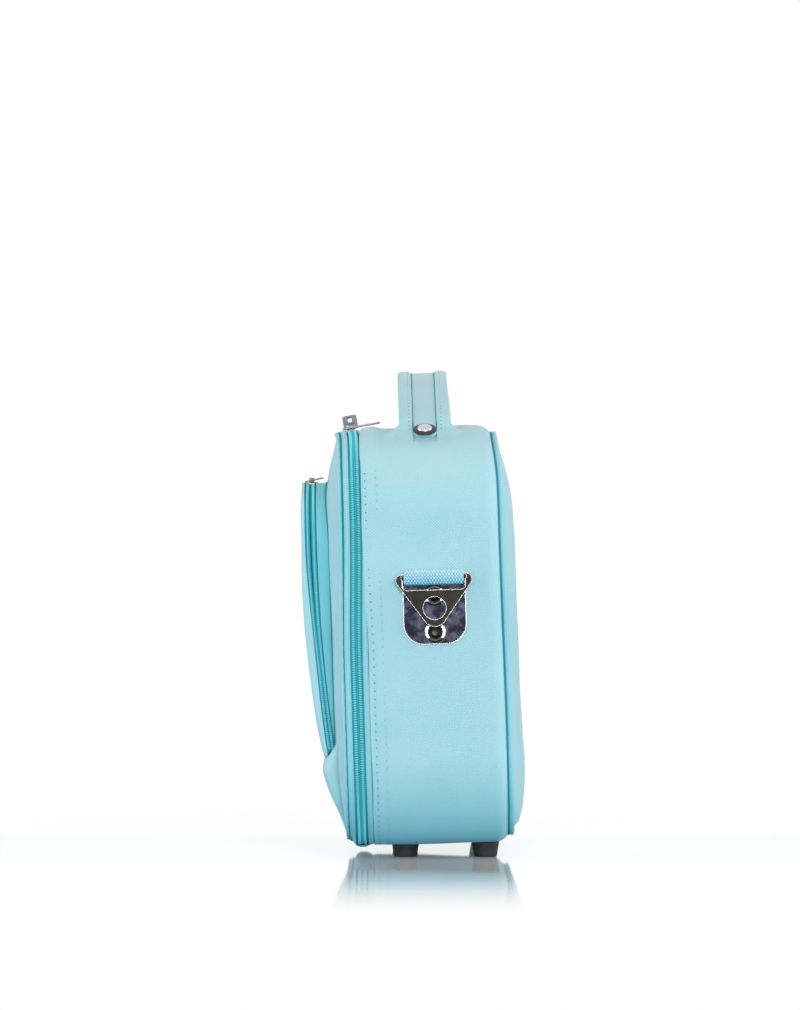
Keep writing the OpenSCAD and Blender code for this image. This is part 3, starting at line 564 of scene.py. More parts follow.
def painted_glint_metal(name, tone, bright):
    """Plated metal with a painted reflection on two sides of a rivet: a wave round it, the first
    axis of its UV map, twice to a turn, and only on its flange, by the second axis."""
    made, tree, shader = start(name, Metallic=1.0, Roughness=0.2)
    uv = tree.nodes.new("ShaderNodeTexCoord").outputs["UV"]
    parts = tree.nodes.new("ShaderNodeSeparateXYZ")
    tree.links.new(uv, parts.inputs[0])
    sides = add(
        tree, "ShaderNodeTexWave", {"wave_type": "BANDS", "bands_direction": "X"},
        {"Vector": uv, "Scale": TAU / 20 / 0.015, "Distortion": 0.0},
    )
    flange = add(
        tree, "ShaderNodeMapRange", {}, {"Value": parts.outputs["Y"], "From Min": 0.0058, "From Max": 0.0062}
    )
    both = add(tree, "ShaderNodeMath", {"operation": "MULTIPLY"}, {0: sides, 1: flange})
    ramp = tree.nodes.new("ShaderNodeValToRGB")
    ramp.color_ramp.elements[0].position = 0.52
    ramp.color_ramp.elements[0].color = linear(tone)
    ramp.color_ramp.elements[1].position = 0.66
    ramp.color_ramp.elements[1].color = linear(bright)
    tree.links.new(both, ramp.inputs["Fac"])
    tree.links.new(ramp.outputs["Color"], shader.inputs["Base Color"])
    return made


def plain_grain(name, pale, deep, size, relief, detail=4.0, **values):
    """A cast, pressed or moulded surface with a grain of that size in mm."""
    made, tree, shader = start(name, **values)
    place = tree.nodes.new("ShaderNodeTexCoord").outputs["Object"]
    grain = add(
        tree, "ShaderNodeTexNoise", {}, {"Vector": place, "Scale": 1000 / size, "Detail": detail}
    )
    ramp = tree.nodes.new("ShaderNodeValToRGB")
    ramp.color_ramp.elements[0].position = 0.3
    ramp.color_ramp.elements[0].color = linear(deep)
    ramp.color_ramp.elements[1].position = 0.7
    ramp.color_ramp.elements[1].color = linear(pale)
    tree.links.new(grain, ramp.inputs["Fac"])
    tree.links.new(ramp.outputs["Color"], shader.inputs["Base Color"])
    bump = add(tree, "ShaderNodeBump", {}, {"Height": grain, "Distance": relief / 1000})
    tree.links.new(bump, shader.inputs["Normal"])
    return made


# Twill-woven polyester over board: a fine diagonal rib with a soft sheen. Its real ribs are 0.5 mm
# apart, and 1.3 mm here so that they show.
cover_twill = woven(
    "cover_twill", "#c2e4ea", "#a5d3dd", 1.3, 1.3, 0.10, Roughness=0.72, Sheen_Weight=0.25,
    Sheen_Roughness=0.4,
)
# The same cloth cut as narrow binding, ribbed across, a little paler where it is pulled tight
trim_twill = woven(
    "trim_twill", "#aadee6", "#8bcbd6", 1.6, 1.1, 0.10, turn=0, Roughness=0.7, Sheen_Weight=0.2
)
# The pocket's gusset: the same cloth, a little darker as painted shade on the pocket's sides
bellows_twill_painted_shade = woven(
    "bellows_twill_painted_shade", "#8bd3de", "#6cc0cd", 1.3, 1.3, 0.10, Roughness=0.72, Sheen_Weight=0.2,
)
# The cloth hinge, in the zip tape's darker shade
hinge_twill = woven(
    "hinge_twill", "#4dbccb", "#2fa3b4", 1.3, 1.1, 0.10, turn=0, Roughness=0.72,
)
# Woven polyester zip tape, dyed darker than the cloth, flat and matt
zip_tape_weave = woven(
    "zip_tape_weave", "#3cb6c4", "#1993a3", 0.9, 0.9, 0.06, turn=0, Roughness=0.75
)
# Moulded nylon coil: smooth, half glossy teeth
coil_nylon, _, _ = start(
    "coil_nylon", Base_Color=linear("#86e6ef"), Roughness=0.34, Subsurface_Weight=0.1
)
# The coil's heads: the same nylon, darker as painted shade where they lie deeper between the two rows
coil_heads_painted_shade, _, _ = start("coil_heads_painted_shade", Base_Color=linear("#3dbcc9"), Roughness=0.45)
# Polyester sewing thread, a little paler than the cloth and half sunk in it
sewing_thread, _, _ = start("sewing_thread", Base_Color=linear("#b4dfe8"), Roughness=0.55)
# Needle holes at the ends of the stitches: dark beads of painted shade where the cloth is pulled in
needle_hole_painted_shade, _, _ = start("needle_hole_painted_shade", Base_Color=linear("#5b98a6"), Roughness=0.9)
# Seam gap with the dyed tape's edge at its bottom
# Painted shadow: dark cords and beads laid in seam gaps and grooves, where only shade falls
seam_shadow, _, _ = start("seam_shadow", Base_Color=linear("#1f8fa0"), Roughness=0.9)


def dotted(name, pale, deep, across, along, relief, **values):
    """Webbing with a lattice of raised dots, across and along apart in mm, each row half a step
    beside the next: where two slanting waves are both high there is a dot."""
    made, tree, shader = start(name, **values)
    uv = tree.nodes.new("ShaderNodeTexCoord").outputs["UV"]
    tilt = math.atan2(across, along)
    wave = across * math.cos(tilt)
    rows = []
    for turn in (tilt, -tilt):
        grid = add(tree, "ShaderNodeMapping", {}, {"Vector": uv, "Rotation": (0, 0, turn)})
        rows.append(add(
            tree, "ShaderNodeTexWave", {"wave_type": "BANDS", "bands_direction": "X"},
            {"Vector": grid, "Scale": TAU / 20 / (wave / 1000), "Distortion": 0.3, "Detail": 1.0},
        ))
    dots = add(tree, "ShaderNodeMath", {"operation": "MULTIPLY"}, {0: rows[0], 1: rows[1]})
    # Painted shade: darker and bluer towards its lower side
    place = tree.nodes.new("ShaderNodeTexCoord").outputs["Object"]
    parts = tree.nodes.new("ShaderNodeSeparateXYZ")
    tree.links.new(place, parts.inputs[0])
    level = add(
        tree, "ShaderNodeMapRange", {},
        {"Value": parts.outputs["Z"], "From Min": 0.1765, "From Max": 0.184, "To Min": -0.12, "To Max": 0.16},
    )
    shade = add(tree, "ShaderNodeMath", {}, {0: dots, 1: level})
    ramp = tree.nodes.new("ShaderNodeValToRGB")
    ramp.color_ramp.elements[0].position = 0.0
    ramp.color_ramp.elements[0].color = linear(deep)
    ramp.color_ramp.elements[1].position = 0.42
    ramp.color_ramp.elements[1].color = linear(pale)
    tree.links.new(shade, ramp.inputs["Fac"])
    tree.links.new(ramp.outputs["Color"], shader.inputs["Base Color"])
    bump = add(tree, "ShaderNodeBump", {}, {"Height": dots, "Distance": relief / 1000})
    tree.links.new(bump, shader.inputs["Normal"])
    return made


# Jacquard-woven polypropylene webbing with a pattern of raised dots
webbing_weave = dotted("webbing_weave", "#d6f4fb", "#5ba9d0", 1.9, 3.2, 0.4, Roughness=0.5)
# Polyester taffeta lining, plain woven, thin and a little shiny
lining_taffeta = woven(
    "lining_taffeta", "#d3d7db", "#bfc4c9", 0.8, 0.8, 0.04, turn=0, Roughness=0.5
)
# Pressed grey fibre board, matt, with short fibres
fibre_board = plain_grain("fibre_board", "#989ba1", "#84878d", 1.2, 0.05, Roughness=0.9)
# Chrome-plated zinc: bright and smooth with hairline scratches
chrome_plate = metal("chrome_plate", "#c9cdd0", 0.10, 0.002)
# Satin chrome of sliders and pulls: duller, grey where fingers wear it, with a painted dark reflection along
# its edges
satin_chrome = metal(
    "satin_chrome", "#868c8f", 0.34, 0.002, haze="#7b8184", rim="#3f4446", reach=0.3
)
# Black nickel plate on pressed steel: a warm dark mirror, with a painted highlight along its edges
black_nickel = metal(
    "black_nickel", "#211f1b", 0.26, 0.003, haze="#282521", rim="#f2f2f2"
)
# The rivets' plate, with a painted reflection on two sides of each flange
glint_painted_nickel = painted_glint_metal("glint_painted_nickel", "#2b2a28", "#f6f6f6")
# Black nickel plate, polished and handled: darker and bluer, clouded and with scratches, and a painted
# highlight along its edges
scratched_nickel = metal(
    "scratched_nickel", "#15171f", 0.14, 0.010, grain=500.0, wear=0.35, haze="#3b3c46", rim="#f2f2f2",
    reach=0.9,
)
# Moulded black rubber, matt with a fine sparked grain
moulded_rubber = plain_grain(
    "moulded_rubber", "#232327", "#141417", 0.8, 0.05, Roughness=0.62
)
# Injection-moulded black nylon washer, smoother than the feet
black_washer = plain_grain("black_washer", "#17171a", "#0e0e10", 1.5, 0.01, Roughness=0.35)


def dress(made, body, slot, material, *replaced, fill=None):
    """Hangs a piece on its body, gives it its material, and hides what it stands for; its slot is not used.
    """
    made.data.materials.clear()
    made.data.materials.append(material)
    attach(made, body)
    if replaced:
        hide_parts(*replaced)
    return made


# Body: cover, strip, zip and padded back


def pulled(x, h, f):
    """The cover's unevenness over the board: it swells a little between its seams and lies in
    where the thread pulls it, near the front edge."""
    mid = np.cos(np.clip((f + 1) / 43, -1, 1) * math.pi / 2)
    back = f + drawn(x, h)
    rows = np.exp(-(((back - 39.6) / 1.1) ** 2)) + 0.5 * np.exp(-(((back - 33.5) / 1.0) ** 2))
    high = smooth((h - 240) / 22)
    lobes = 1.7 * np.exp(-(((f - 37) / 5.5) ** 2)) + 0.7 * np.exp(-(((f + 24) / 9) ** 2))
    plain = 0.35 * mid + 0.16 * unevenness(x + f, h + 0.6 * f, 60, 3) - 0.22 * rows * (1 - high)
    return plain - 0.1 + lobes * high


turn = np.radians(np.linspace(90, 25, 9))
outer_f = np.concatenate([np.linspace(42.4, 30, 19), np.linspace(28, -33, 18)])
gusset_r = np.concatenate(
    [
        [54.9, 55.5, 55.8, 56.0],
        0 * outer_f + 56,
        47 + 9 * np.sin(turn),
        (47 + 7.8 * np.sin(turn))[::-1],
        [54.8, 54.8, 54.8],
    ]
)
gusset_f = np.concatenate(
    [
        [43.0, 43.0, 42.9, 42.7],
        outer_f,
        -34 - 9 * np.cos(turn),
        (-34 - 7.8 * np.cos(turn))[::-1],
        [-33, 0, 42.6],
    ]
)
dress(
    round_case(
        "cover_gusset", (gusset_r, gusset_f), swell=pulled,
        shift=lambda x, h, f: pinch(h) * smooth(-f / 40) - 0.8 * drawn(x, h) * smooth((f - 34) / 8),
    ),
    "case", "cover", cover_twill, "side_gusset",
)
for name, f, shift, hole, bow in (("front", 39.6, 0.0, 1.0, -1.0), ("rear", 33.5, 0.4, 0.6, -0.55)):
    dress(
        case_beads("gusset_thread_" + name, 55.93, f, 5.2, (4.2, 0.6, 0.4), True, shift, 0, bow, 240),
        "case", "cover_trim", sewing_thread,
    )
    # Dark beads at the needle holes: painted shade
    dress(
        case_beads(
            "gusset_holes_" + name, 55.98, f, 5.2, (hole, 0.8 * hole, 0.3), True, shift + 0.5, 0,
            bow, 240,
        ),
        "case", "cover_trim", needle_hole_painted_shade,
    )
dress(
    round_case("body_binding", box_section(54.0, 55.3, 43.1, 46.6, 0.5), shift=drawn),
    "case", "cover_trim", trim_twill, "body_strip",
)
# A row of dark beads in the gusset's seam: painted shadow
dress(
    case_beads("gusset_seam", 55.4, 42.7, 1.5, (1.7, 0.6, 0.9), bow=-0.8),
    "case", "cover_trim", seam_shadow,
)
dress(
    round_case("body_tape", box_section(53.3, 53.9, 43.6, 50.4, 0.2), bottom=False, shift=drawn),
    "case", "zip_tape", zip_tape_weave, "body_zip_tape",
)
dress(
    round_case(
        "lid_tape", box_section(53.3, 53.9, 50.8, 58.1, 0.2), bottom=False, swell=tucked,
        shift=drawn,
    ),
    "lid", "zip_tape", zip_tape_weave, "lid_zip_tape",
)
dress(
    case_beads("body_teeth", 54.7, 48.8, 1.5, (1.1, 2.3, 1.5), bottom=False, skew=-14),
    "case", "zip_coil", coil_nylon, "body_zip_coil",
)
dress(
    case_beads("lid_teeth", 54.7, 52.4, 1.5, (1.1, 2.3, 1.5), bottom=False, shift=0.5, skew=14),
    "lid", "zip_coil", coil_nylon, "lid_zip_coil",
)
# The tooth heads carry painted shade between the two rows
dress(
    case_beads("body_tooth_heads", 54.6, 50.1, 1.5, (1.0, 1.7, 1.2), bottom=False, skew=25),
    "case", "zip_coil", coil_heads_painted_shade,
)
dress(
    case_beads("lid_tooth_heads", 54.6, 51.1, 1.5, (1.0, 1.7, 1.2), bottom=False, shift=0.5, skew=-25),
    "lid", "zip_coil", coil_heads_painted_shade,
)


def hinge_cloth():
    """The cloth hinge along the straight part of the bottom: a soft bulge of cloth from one
    binding to the other, its ends turned in, with a slight crease along the middle."""
    t = np.linspace(0, 1, 15)
    f = 43.9 + 12.9 * t
    bulge = 54.2 + 3.0 * np.sin(t * math.pi) ** 0.7 - 0.3 * np.exp(-(((t - 0.5) / 0.06) ** 2))
    x = np.linspace(-118, 118, 80)[:, None]
    end = smooth((118 - np.abs(x)) / 7)
    r = bulge + tucked(0, 0, f) - 1.2 * (1 - end) + 0.08 * np.sin(x / 2.3)
    made = surface(
        "hinge_cloth", world(x + 0 * f, MIDDLE_H - SIDE_H - r, f + 0 * x), (x[:, 0] + 118) / 1000,
        t * 0.014, centre=world(0, 60, 50),
    )
    thicken(made, 0.5)
    return made


hinge = dress(
    hinge_cloth(), "case", "cover_trim", hinge_twill, "body_hinge_tape", "lid_hinge_tape"
)
hinge.parent = None
tuple(world(0, 0, 49.2))
tuple(world(0, 0, 52.0))
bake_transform(hinge)
dress(
    panel("back_padding", 48.3, back_face, -1, 1.2, 11, 0.5),
    "case", "cover", cover_twill, "back_panel", fill=0.6,
)
dress(
    panel("back_stiffener", 46.0, lambda x, h: back_face(x, h, 1.4), -1, 2.0, 11, 0.5),
    "case", "board", fibre_board, "back_board",
)


def rolled(x, h, f):
    """Piping pulled round the corners gathers into small folds."""
    along = np.arctan2(h - MIDDLE_H, x)
    return 0.10 * np.sin(along * 140) + 0.08 * unevenness(x, h, 22, 5)


dress(
    round_case(
        "back_cord_piping", round_section(50.4, -44.05, 3.6), step=2.5, swell=rolled,
        shift=lambda x, h, f: pinch(h),
    ),
    "case", "cover_trim", trim_twill, "back_piping",
)

# A dark cord in the back seam's gap: painted shadow
dress(
    round_case(
        "back_seam", round_section(51.6, -42.05, 1.2, 8), shift=lambda x, h, f: pinch(h)
    ),
    "case", "cover_trim", seam_shadow,
)

# Lid



dress(
    round_case("lid_binding", box_section(54.0, 55.1, 54.6, 58.1, 0.5), swell=tucked, shift=drawn),
    "lid", "cover_trim", trim_twill, "lid_strip",
)
# A dark cord and a row of dark beads along the lid's seam: painted shadow
dress(
    round_case(
        "lid_seam_cord", round_section(53.5, 58.5, 1.7, 10), swell=tucked,
        shift=lambda x, h, f: 0.8 * drawn(x, h),
    ),
    "lid", "cover_trim", seam_shadow,
)
dress(
    case_beads("lid_seam", 54.2, 58.3, 1.5, (1.3, 0.8, 0.8), bottom=False, bow=0.9),
    "lid", "cover_trim", seam_shadow,
)
dress(
    round_case(
        "lid_cord_piping", round_section(53.0, 59.4, 2.6), step=2.5,
        swell=lambda x, h, f: rolled(x, h, f) + tucked(x, h, f),
        shift=lambda x, h, f: 0.6 * drawn(x, h),
    ),
    "lid", "cover_trim", trim_twill, "lid_piping",
)
dress(
    panel("lid_padding", 51.4, lid_face, 1, 1.2, 7, 0.5),
    "lid", "cover", cover_twill, "lid_panel", fill=0.6,
)


# Pocket: its covered sides, zip, flap and the padded cover over its foot


def pocket_wall(name, inset, wall, back, front, rows=8, step=3.0, foot=59.0, fold=0.0):
    """A wall along the pocket's outline between two depths, given as functions of x and h: rows
    go from back to front, and where fold is set the wall's ends follow the fold's plane."""
    c, n = pocket_path(step, foot)
    x = c[:, :1] + (42 - inset) * n[:, :1]
    h = c[:, 1:] + (42 - inset) * n[:, 1:]
    t = np.linspace(0, 1, rows)
    depth = back(x, h) + (front(x, h) - back(x, h)) * t
    low = fold_height(depth, fold)
    height = np.where(h < 120, low + (h - foot) * (120 - low) / (120 - foot), h + 0 * t)
    line = c + 42 * n
    made = surface(
        name, world(x + 0 * t, height, depth), lengths(line), t * 0.009,
        centre=world(0, 140, 70),
    )
    thicken(made, wall)
    return made


def zip_middle(h):
    """The pocket's zip gapes a little towards its top: the depth midway between its teeth."""
    return zip_line(h) - 0.6 + 1.3 * smooth((h - 95) / 95)


def zip_gape(h):
    """Half the distance between the rows of teeth, by height."""
    return 1.25 + 0.75 * smooth((h - 115) / 80)


def zip_front(h):
    """Depth of the flap's edge along the zip."""
    return zip_line(h) + 2.0 + 2.3 * smooth((h - 115) / 80)


# The pocket's sides take the darker copy of the cloth: painted shade
dress(
    pocket_wall(
        "pocket_sides", 0, 1.6, lambda x, h: lid_face(x, h) - 0.6,
        lambda x, h: zip_line(h) - 3.2, fold=0.1,
    ),
    "lid", "cover_trim", bellows_twill_painted_shade, "pocket_bellows",
)
dress(
    pocket_wall(
        "pocket_tape_rear", 1.3, 0.45, lambda x, h: zip_line(h) - 3.1,
        lambda x, h: zip_middle(h) - 0.2, rows=3, fold=0.1,
    ),
    "lid", "zip_tape", zip_tape_weave, "pocket_zip_tape_rear",
)
dress(
    pocket_wall(
        "pocket_tape_front", 1.3, 0.45, lambda x, h: zip_middle(h) + 0.2,
        lambda x, h: zip_front(h) + 0.3, rows=3, fold=0.4,
    ),
    "flap", "zip_tape", zip_tape_weave, "pocket_zip_tape_front",
)


def pocket_beads(name, inset, depth, pitch, size, shift, skew=0.0):
    """Pillows along the pocket's outline at an inset and a depth by place: size is their length,
    breadth and height."""
    c, n = pocket_path(pitch, 62.5 + shift * pitch)
    t = np.stack([-n[:, 1], n[:, 0]], -1)
    place = c + (42 - inset) * n + t * shift * pitch
    lie = math.radians(skew)
    return beads(
        name,
        world(place[:, 0], place[:, 1], depth(place[:, 0], place[:, 1])),
        direction(t[:, 0] * math.cos(lie), t[:, 1] * math.cos(lie), math.sin(lie)) * size[0] / 2,
        direction(-t[:, 0] * math.sin(lie), -t[:, 1] * math.sin(lie), math.cos(lie)) * size[1] / 2,
        direction(n[:, 0], n[:, 1], 0) * size[2] / 2,
    )


for body, end, sign, shift in (("lid", "rear", -1, 0.0), ("flap", "front", 1, 0.5)):
    dress(
        pocket_beads(
            "pocket_teeth_" + end, 0.7, lambda x, h: zip_middle(h) + sign * zip_gape(h), 1.4,
            (1.15, 1.9, 1.2), shift, sign * 14,
        ),
        body, "zip_coil", coil_nylon, "pocket_zip_coil_" + end,
    )
    # The pocket's tooth heads carry painted shade between the two rows
    dress(
        pocket_beads(
            "pocket_tooth_heads_" + end, 0.95,
            lambda x, h: zip_middle(h) + sign * (zip_gape(h) - 1.05), 1.4,
            (0.75, 1.3, 0.9), shift, sign * -25,
        ),
        body, "zip_coil", coil_heads_painted_shade,
    )
# A row of dark beads in the pocket's seam: painted shadow
dress(
    pocket_beads("pocket_seam", -0.15, lambda x, h: lid_face(x, h) + 0.5, 1.5, (1.7, 0.8, 0.8), 0),
    "lid", "cover_trim", seam_shadow,
)


def flap_shell():
    """The flap's outside: a wall along the pocket's outline from the zip forward, a rounded edge
    up to 4.5 deep, and a front that bows in height and crowns across, which is rings in to the
    corners' centres and a grid between them."""
    edge = 3.2

    def place(x, h, share, along, face):
        front = flap_front(np.clip(h, 50, 240)) + 1.6 * smooth((h - 190) / 40)
        side = np.clip(138 - np.abs(x), 0, 60) / 60
        top = np.clip(233.5 - h, 0, 60) / 60
        inside = np.clip(np.minimum(side, top), 0, 1)
        crown = 0.5 * np.sin(inside * math.pi / 2) + 0.45 * unevenness(x, h, 85, 21) * inside
        stitched = 0.35 * np.exp(-((np.minimum(138 - np.abs(x), 233.5 - h) - 9) ** 2) / 2.0)
        rear = zip_front(h)
        deep = np.clip(front - rear - 0.2, 0.8, 4.5)
        depth = front - deep * share + (crown - stitched) * face
        depth = np.where(along < 1, rear + (front - deep - rear) * along, depth)
        low = fold_height(depth, 0.4)
        height = np.where(h < 120, low + (h - 59) * (120 - low) / 61, h)
        # Its top stands up a little, but not under the pull
        clear = 1 - np.exp(-(((x - PULL_X) / 16) ** 4))
        height = height + 1.1 * smooth((h - 222) / 10) * along * clear
        return world(x, height, depth)

    c, n = pocket_path(3.0, 59.0)
    turn = np.linspace(0, math.pi / 2, 8)
    wall = np.linspace(0, 1, 5)[:-1]
    inner = np.linspace(edge, 42, 15)[1:]
    inset = np.concatenate([0 * wall, edge * (1 - np.cos(turn)), inner])
    share = np.concatenate([0 * wall + 1, 1 - np.sin(turn), 0 * inner])
    along = np.concatenate([wall, np.ones(22)])
    face = np.concatenate([np.zeros(12), np.ones(14)])
    x = c[:, :1] + (42 - inset) * n[:, :1]
    h = c[:, 1:] + (42 - inset) * n[:, 1:]
    # The cloth's own plane, with the edge and the wall laid out flat round the front
    out = np.concatenate([54.8 - 9 * wall, 45.8 - 4.5 * turn, 42 - inner])
    u, v = (c[:, :1] + out * n[:, :1]) / 1000, (c[:, 1:] + out * n[:, 1:]) / 1000
    rings = surface("flap_padding", place(x, h, share, along, face), u, v)
    x, h = np.linspace(-96, 96, 64), np.linspace(59, 191.5, 44)
    points = place(*np.meshgrid(x, h, indexing="ij"), 0, 1, 1)
    middle = surface("flap_middle", points, x / 1000, h / 1000)
    made = joined(rings, middle, world(0, 140, 40))
    thicken(made, 1.4)
    return made


# Its foot is sewn to the cover below it
flap = dress(flap_shell(), "flap", "cover", cover_twill, "pocket_flap", fill=0.5)
flap.parent = None
tuple(world(0, 58.5, 72.5))
tuple(world(0, 67, 72.5))
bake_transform(flap)


def boot_side():
    """The cover over the pocket's foot, seen from the side, as (depth, height) from its lower end
    round its bulge to the fold and back to the lid."""
    turn = np.radians(np.linspace(-19.5, 21, 12))
    bulge = np.stack([66.5 + 8 * np.cos(turn), 49.8 + 8 * np.sin(turn)], -1)
    rise = np.linspace(3.4, bulge[0, 1], 16)[:-1]
    front = np.interp(rise, [3.4, 10, 17, 24, 30, 42, 47.2], [58.9, 61.0, 63.1, 65.9, 68.4, 72.2, 74.0])
    lower = np.stack([front, rise], -1)
    roll = np.array([[58.2, 2.6], [58.5, 2.8]])
    fold = np.array([[73.4, 54.6], [72.8, 56.4], [71.9, 57.8], [70.5, 59.4], [67.0, 63.2], [62.4, 67.9]])
    return np.concatenate([roll, lower, bulge, fold])


def boot_shell():
    """That line carried across x: its width ends in rounded lower corners of radius 42, and it
    sinks to the lid's face at both ends in a quarter ellipse, with soft folds near them."""
    line = boot_side()
    f, h = line[:, :1], line[:, 1:]
    width = 143 - 42 + np.sqrt(np.maximum(42.0**2 - np.maximum(45 - h, 0) ** 2, 0))
    s = np.linspace(-1, 1, 101)
    s = np.sign(s) * (1 - (1 - np.abs(s)) ** 1.35)
    x = width * s
    near = np.clip((width - np.abs(x)) / 9.0, 0, 1)
    end = np.sqrt(1 - (1 - near) ** 2)
    base = lid_face(x, h) - 0.8
    full = np.clip((f - 58.6) / 14, 0, 1)
    soft = 0.5 * unevenness(x, h * 1.6, 48, 31) * full * near
    folds = 0.3 * np.sin(x / 3.1 + 0.08 * h) * np.exp(-(((h - 55) / 6) ** 2)) * full * near
    depth = base + np.maximum(f - base, 0.2) * end + soft + folds
    points = world(x, h + 0 * x, depth)
    return surface(
        "pocket_foot_cover", points, lengths(line), lengths(points[14] * 1000),
        centre=world(0, 45, 40),
    )


boot = boot_shell()
thicken(boot, 1.2)
dress(boot, "lid", "cover", cover_twill, "pocket_boot", fill=0.7)


# Handle


def along_handle(name, r, f, end=29.0, ends=2.5):
    """A closed section, height above the underside and depth, carried along the handle, its ends
    rounded off over ends mm."""
    p, n = handle_path(2.0, end)
    line = lengths(p) * 1000
    t = np.clip(np.minimum(line, line[-1] - line) / ends, 0, 1)
    scale = np.sqrt(1 - (1 - t) ** 2)[:, None] * 0.95 + 0.05
    rise = r * (0.25 + 0.75 * scale)
    depth = 2.7 + (f - 2.7) * (0.6 + 0.4 * scale)
    points = world(p[:, :1] + rise * n[:, :1], p[:, 1:] + rise * n[:, 1:], depth)
    return surface(name, points, lengths(p), closed_lengths(r, f), False, True, caps=True)


def handle_band(name, side):
    """A rolled band, a superellipse of power 3 across, 5.6 high. Where the handle comes down on
    the case its outer edge runs out along it and down to it, and thins to a feather, like its end."""
    p, n = handle_path(1.5, 34.5)
    line = lengths(p) * 1000
    left = np.minimum(line, line[-1] - line)[:, None]
    turn = np.arange(28) * TAU / 28
    squared = np.sign([np.cos(turn), np.sin(turn)]) * np.abs([np.cos(turn), np.sin(turn)]) ** (2 / 3)
    r, share = 2.8 + 2.8 * squared[0], 0.5 + 0.5 * squared[1]
    middle = smooth((left - 25) / 70)
    near = smooth((24 - left) / 14)
    width = 8.9 - (1.3 * middle - 0.6 if side < 0 else 0)
    depth = 2.7 + side * (7.4 + share * width + 11 * near**2 * share**1.4)
    thin = (1 - 0.95 * near * share**0.45) * (0.05 + 0.95 * smooth(left / 13))
    gap = np.sqrt(56.1**2 + np.clip(left - 7.3, 0, 22) ** 2) - 56.1
    rise = r * thin - gap * near * share
    points = world(p[:, :1] + rise * n[:, :1], p[:, 1:] + rise * n[:, 1:], depth)
    return surface(name, points, lengths(p), closed_lengths(r, share * 9), False, True, caps=True)


dress(handle_band("handle_band_front", 1), "case", "cover", cover_twill, "handle_bands")
dress(handle_band("handle_band_back", -1), "case", "cover", cover_twill)
dress(
    along_handle("handle_middle", *box_section(1.0, 4.3, 2.7 - 7.3, 2.7 + 7.3, 0.4, across=10)),
    "case", "cover", cover_twill, "handle_strip", "handle_core",
)
dress(
    along_handle("handle_underside", *box_section(0.02, 1.0, 2.7 - 7.2, 2.7 + 7.2, 0.4, across=10)),
    "case", "lining", trim_twill, "handle_lining",
)


def handle_stitches(name, f):
    """Stitches 5.2 apart along a band, of which little more than the holes shows."""
    p, n = handle_path(5.2, end=24.0)
    t = np.gradient(p, axis=0)
    t = t / np.linalg.norm(t, axis=1)[:, None]
    place, t, n = (p + 5.45 * n)[3:-3], t[3:-3], n[3:-3]
    return beads(
        name, world(place[:, 0], place[:, 1], f),
        direction(t[:, 0], t[:, 1], 0) * 0.7,
        direction(0 * t[:, 0], 0 * t[:, 0], 1) * 0.35,
        direction(n[:, 0], n[:, 1], 0) * 0.2,
    )


for side, name, away in ((1, "front", 2.5), (-1, "back", 3.2)):
    # Dark beads at the stitch holes: painted shade
    dress(
        handle_stitches("handle_stitches_" + name, 2.7 + side * (7.4 + away)),
        "case", "cover_trim", needle_hole_painted_shade,
    )
    # A dark cord in each groove beside the handle's strip: painted shadow
    dress(
        along_handle(
            "handle_groove_" + name, *round_section(4.1, 2.7 + side * 7.45, 0.8, 8), end=26.0
        ),
        "case", "cover_trim", seam_shadow,
    )


def turned(name, profile, place, turn=0.0):
    """A profile, radius and height, turned about an axis that stands out from the case at a place
    and an angle above the horizontal."""
    around = np.arange(48) * TAU / 48
    r, z = np.array(profile).T
    out = np.array([math.cos(turn), math.sin(turn)])
    up = np.array([-math.sin(turn), math.cos(turn)])
    ring = r * np.cos(around)[:, None]
    x = place[0] + z * out[0] + ring * up[0]
    h = place[1] + z * out[1] + ring * up[1]
    points = world(x, h, place[2] + r * np.sin(around)[:, None])
    return surface(name, points, np.arange(49) / 1600, lengths(np.array(profile)), True)


# Washers and rivet heads of the handle, 27 degrees off the top of the corner
for side, name in ((1, "right"), (-1, "left")):
    for part, profile, material, slot, node in (
        (
            "washer",
            [(0, 4.2), (6.9, 4.2), (7.6, 4.5), (7.8, 5.0), (7.5, 5.5), (6.7, 5.8), (5.2, 5.9), (0, 5.9)],
            black_washer, "rubber", "handle_washers",
        ),
        (
            "rivet",
            [(0, 5.6), (4.6, 5.6), (4.85, 5.9), (4.7, 6.4), (4.1, 7.0), (3.1, 7.45), (1.7, 7.7), (0, 7.75)],
            chrome_plate, "chrome", "handle_rivets",
        ),
    ):
        made = turned(
            "handle_" + part + "_" + name, profile,
            (side * (112 + 56.1 * math.sin(math.radians(27))), 211 + 56.1 * math.cos(math.radians(27)), 2.7),
            turn=math.radians(63 if side > 0 else 117),
        )
        dress(made, "case", slot, material, *([node] if side > 0 else []))


# Strap anchors


def webbing_loop(name, side):
    """The webbing's roll round the ring's bar: a stadium section 9.8 by 4.4 about the bar, 38.5
    long, with a wavy upper edge where its weave ends."""
    turn = np.arange(40) * TAU / 40
    up = 2.7 * np.sign(np.sin(turn)) * np.minimum(1, np.abs(np.sin(turn)) * 3) + 2.2 * np.sin(turn)
    out = 2.2 * np.cos(turn)
    f = np.linspace(-19.25, 19.25, 57)
    taper = np.sqrt(1 - np.clip((np.abs(f) - 18.25) / 1.0, 0, 1) ** 2)[:, None] * 0.5 + 0.5
    wave = 0.12 * np.cos(f[:, None] * TAU / 2.4)
    x = side * (171.6 + (out + wave * np.cos(turn)) * taper)
    h = 171.3 + (up + wave * np.sin(turn)) * taper
    return surface(
        name, world(x, h, f[:, None] + 0 * x), (f + 19.25) / 1000,
        closed_lengths(up, out), False, True, caps=True,
    )


dress(
    webbing_loop("webbing_loop_right", 1), "case", "webbing", webbing_weave, "anchor_webbing"
)
dress(webbing_loop("webbing_loop_left", -1), "case", "webbing", webbing_weave)


# Linings


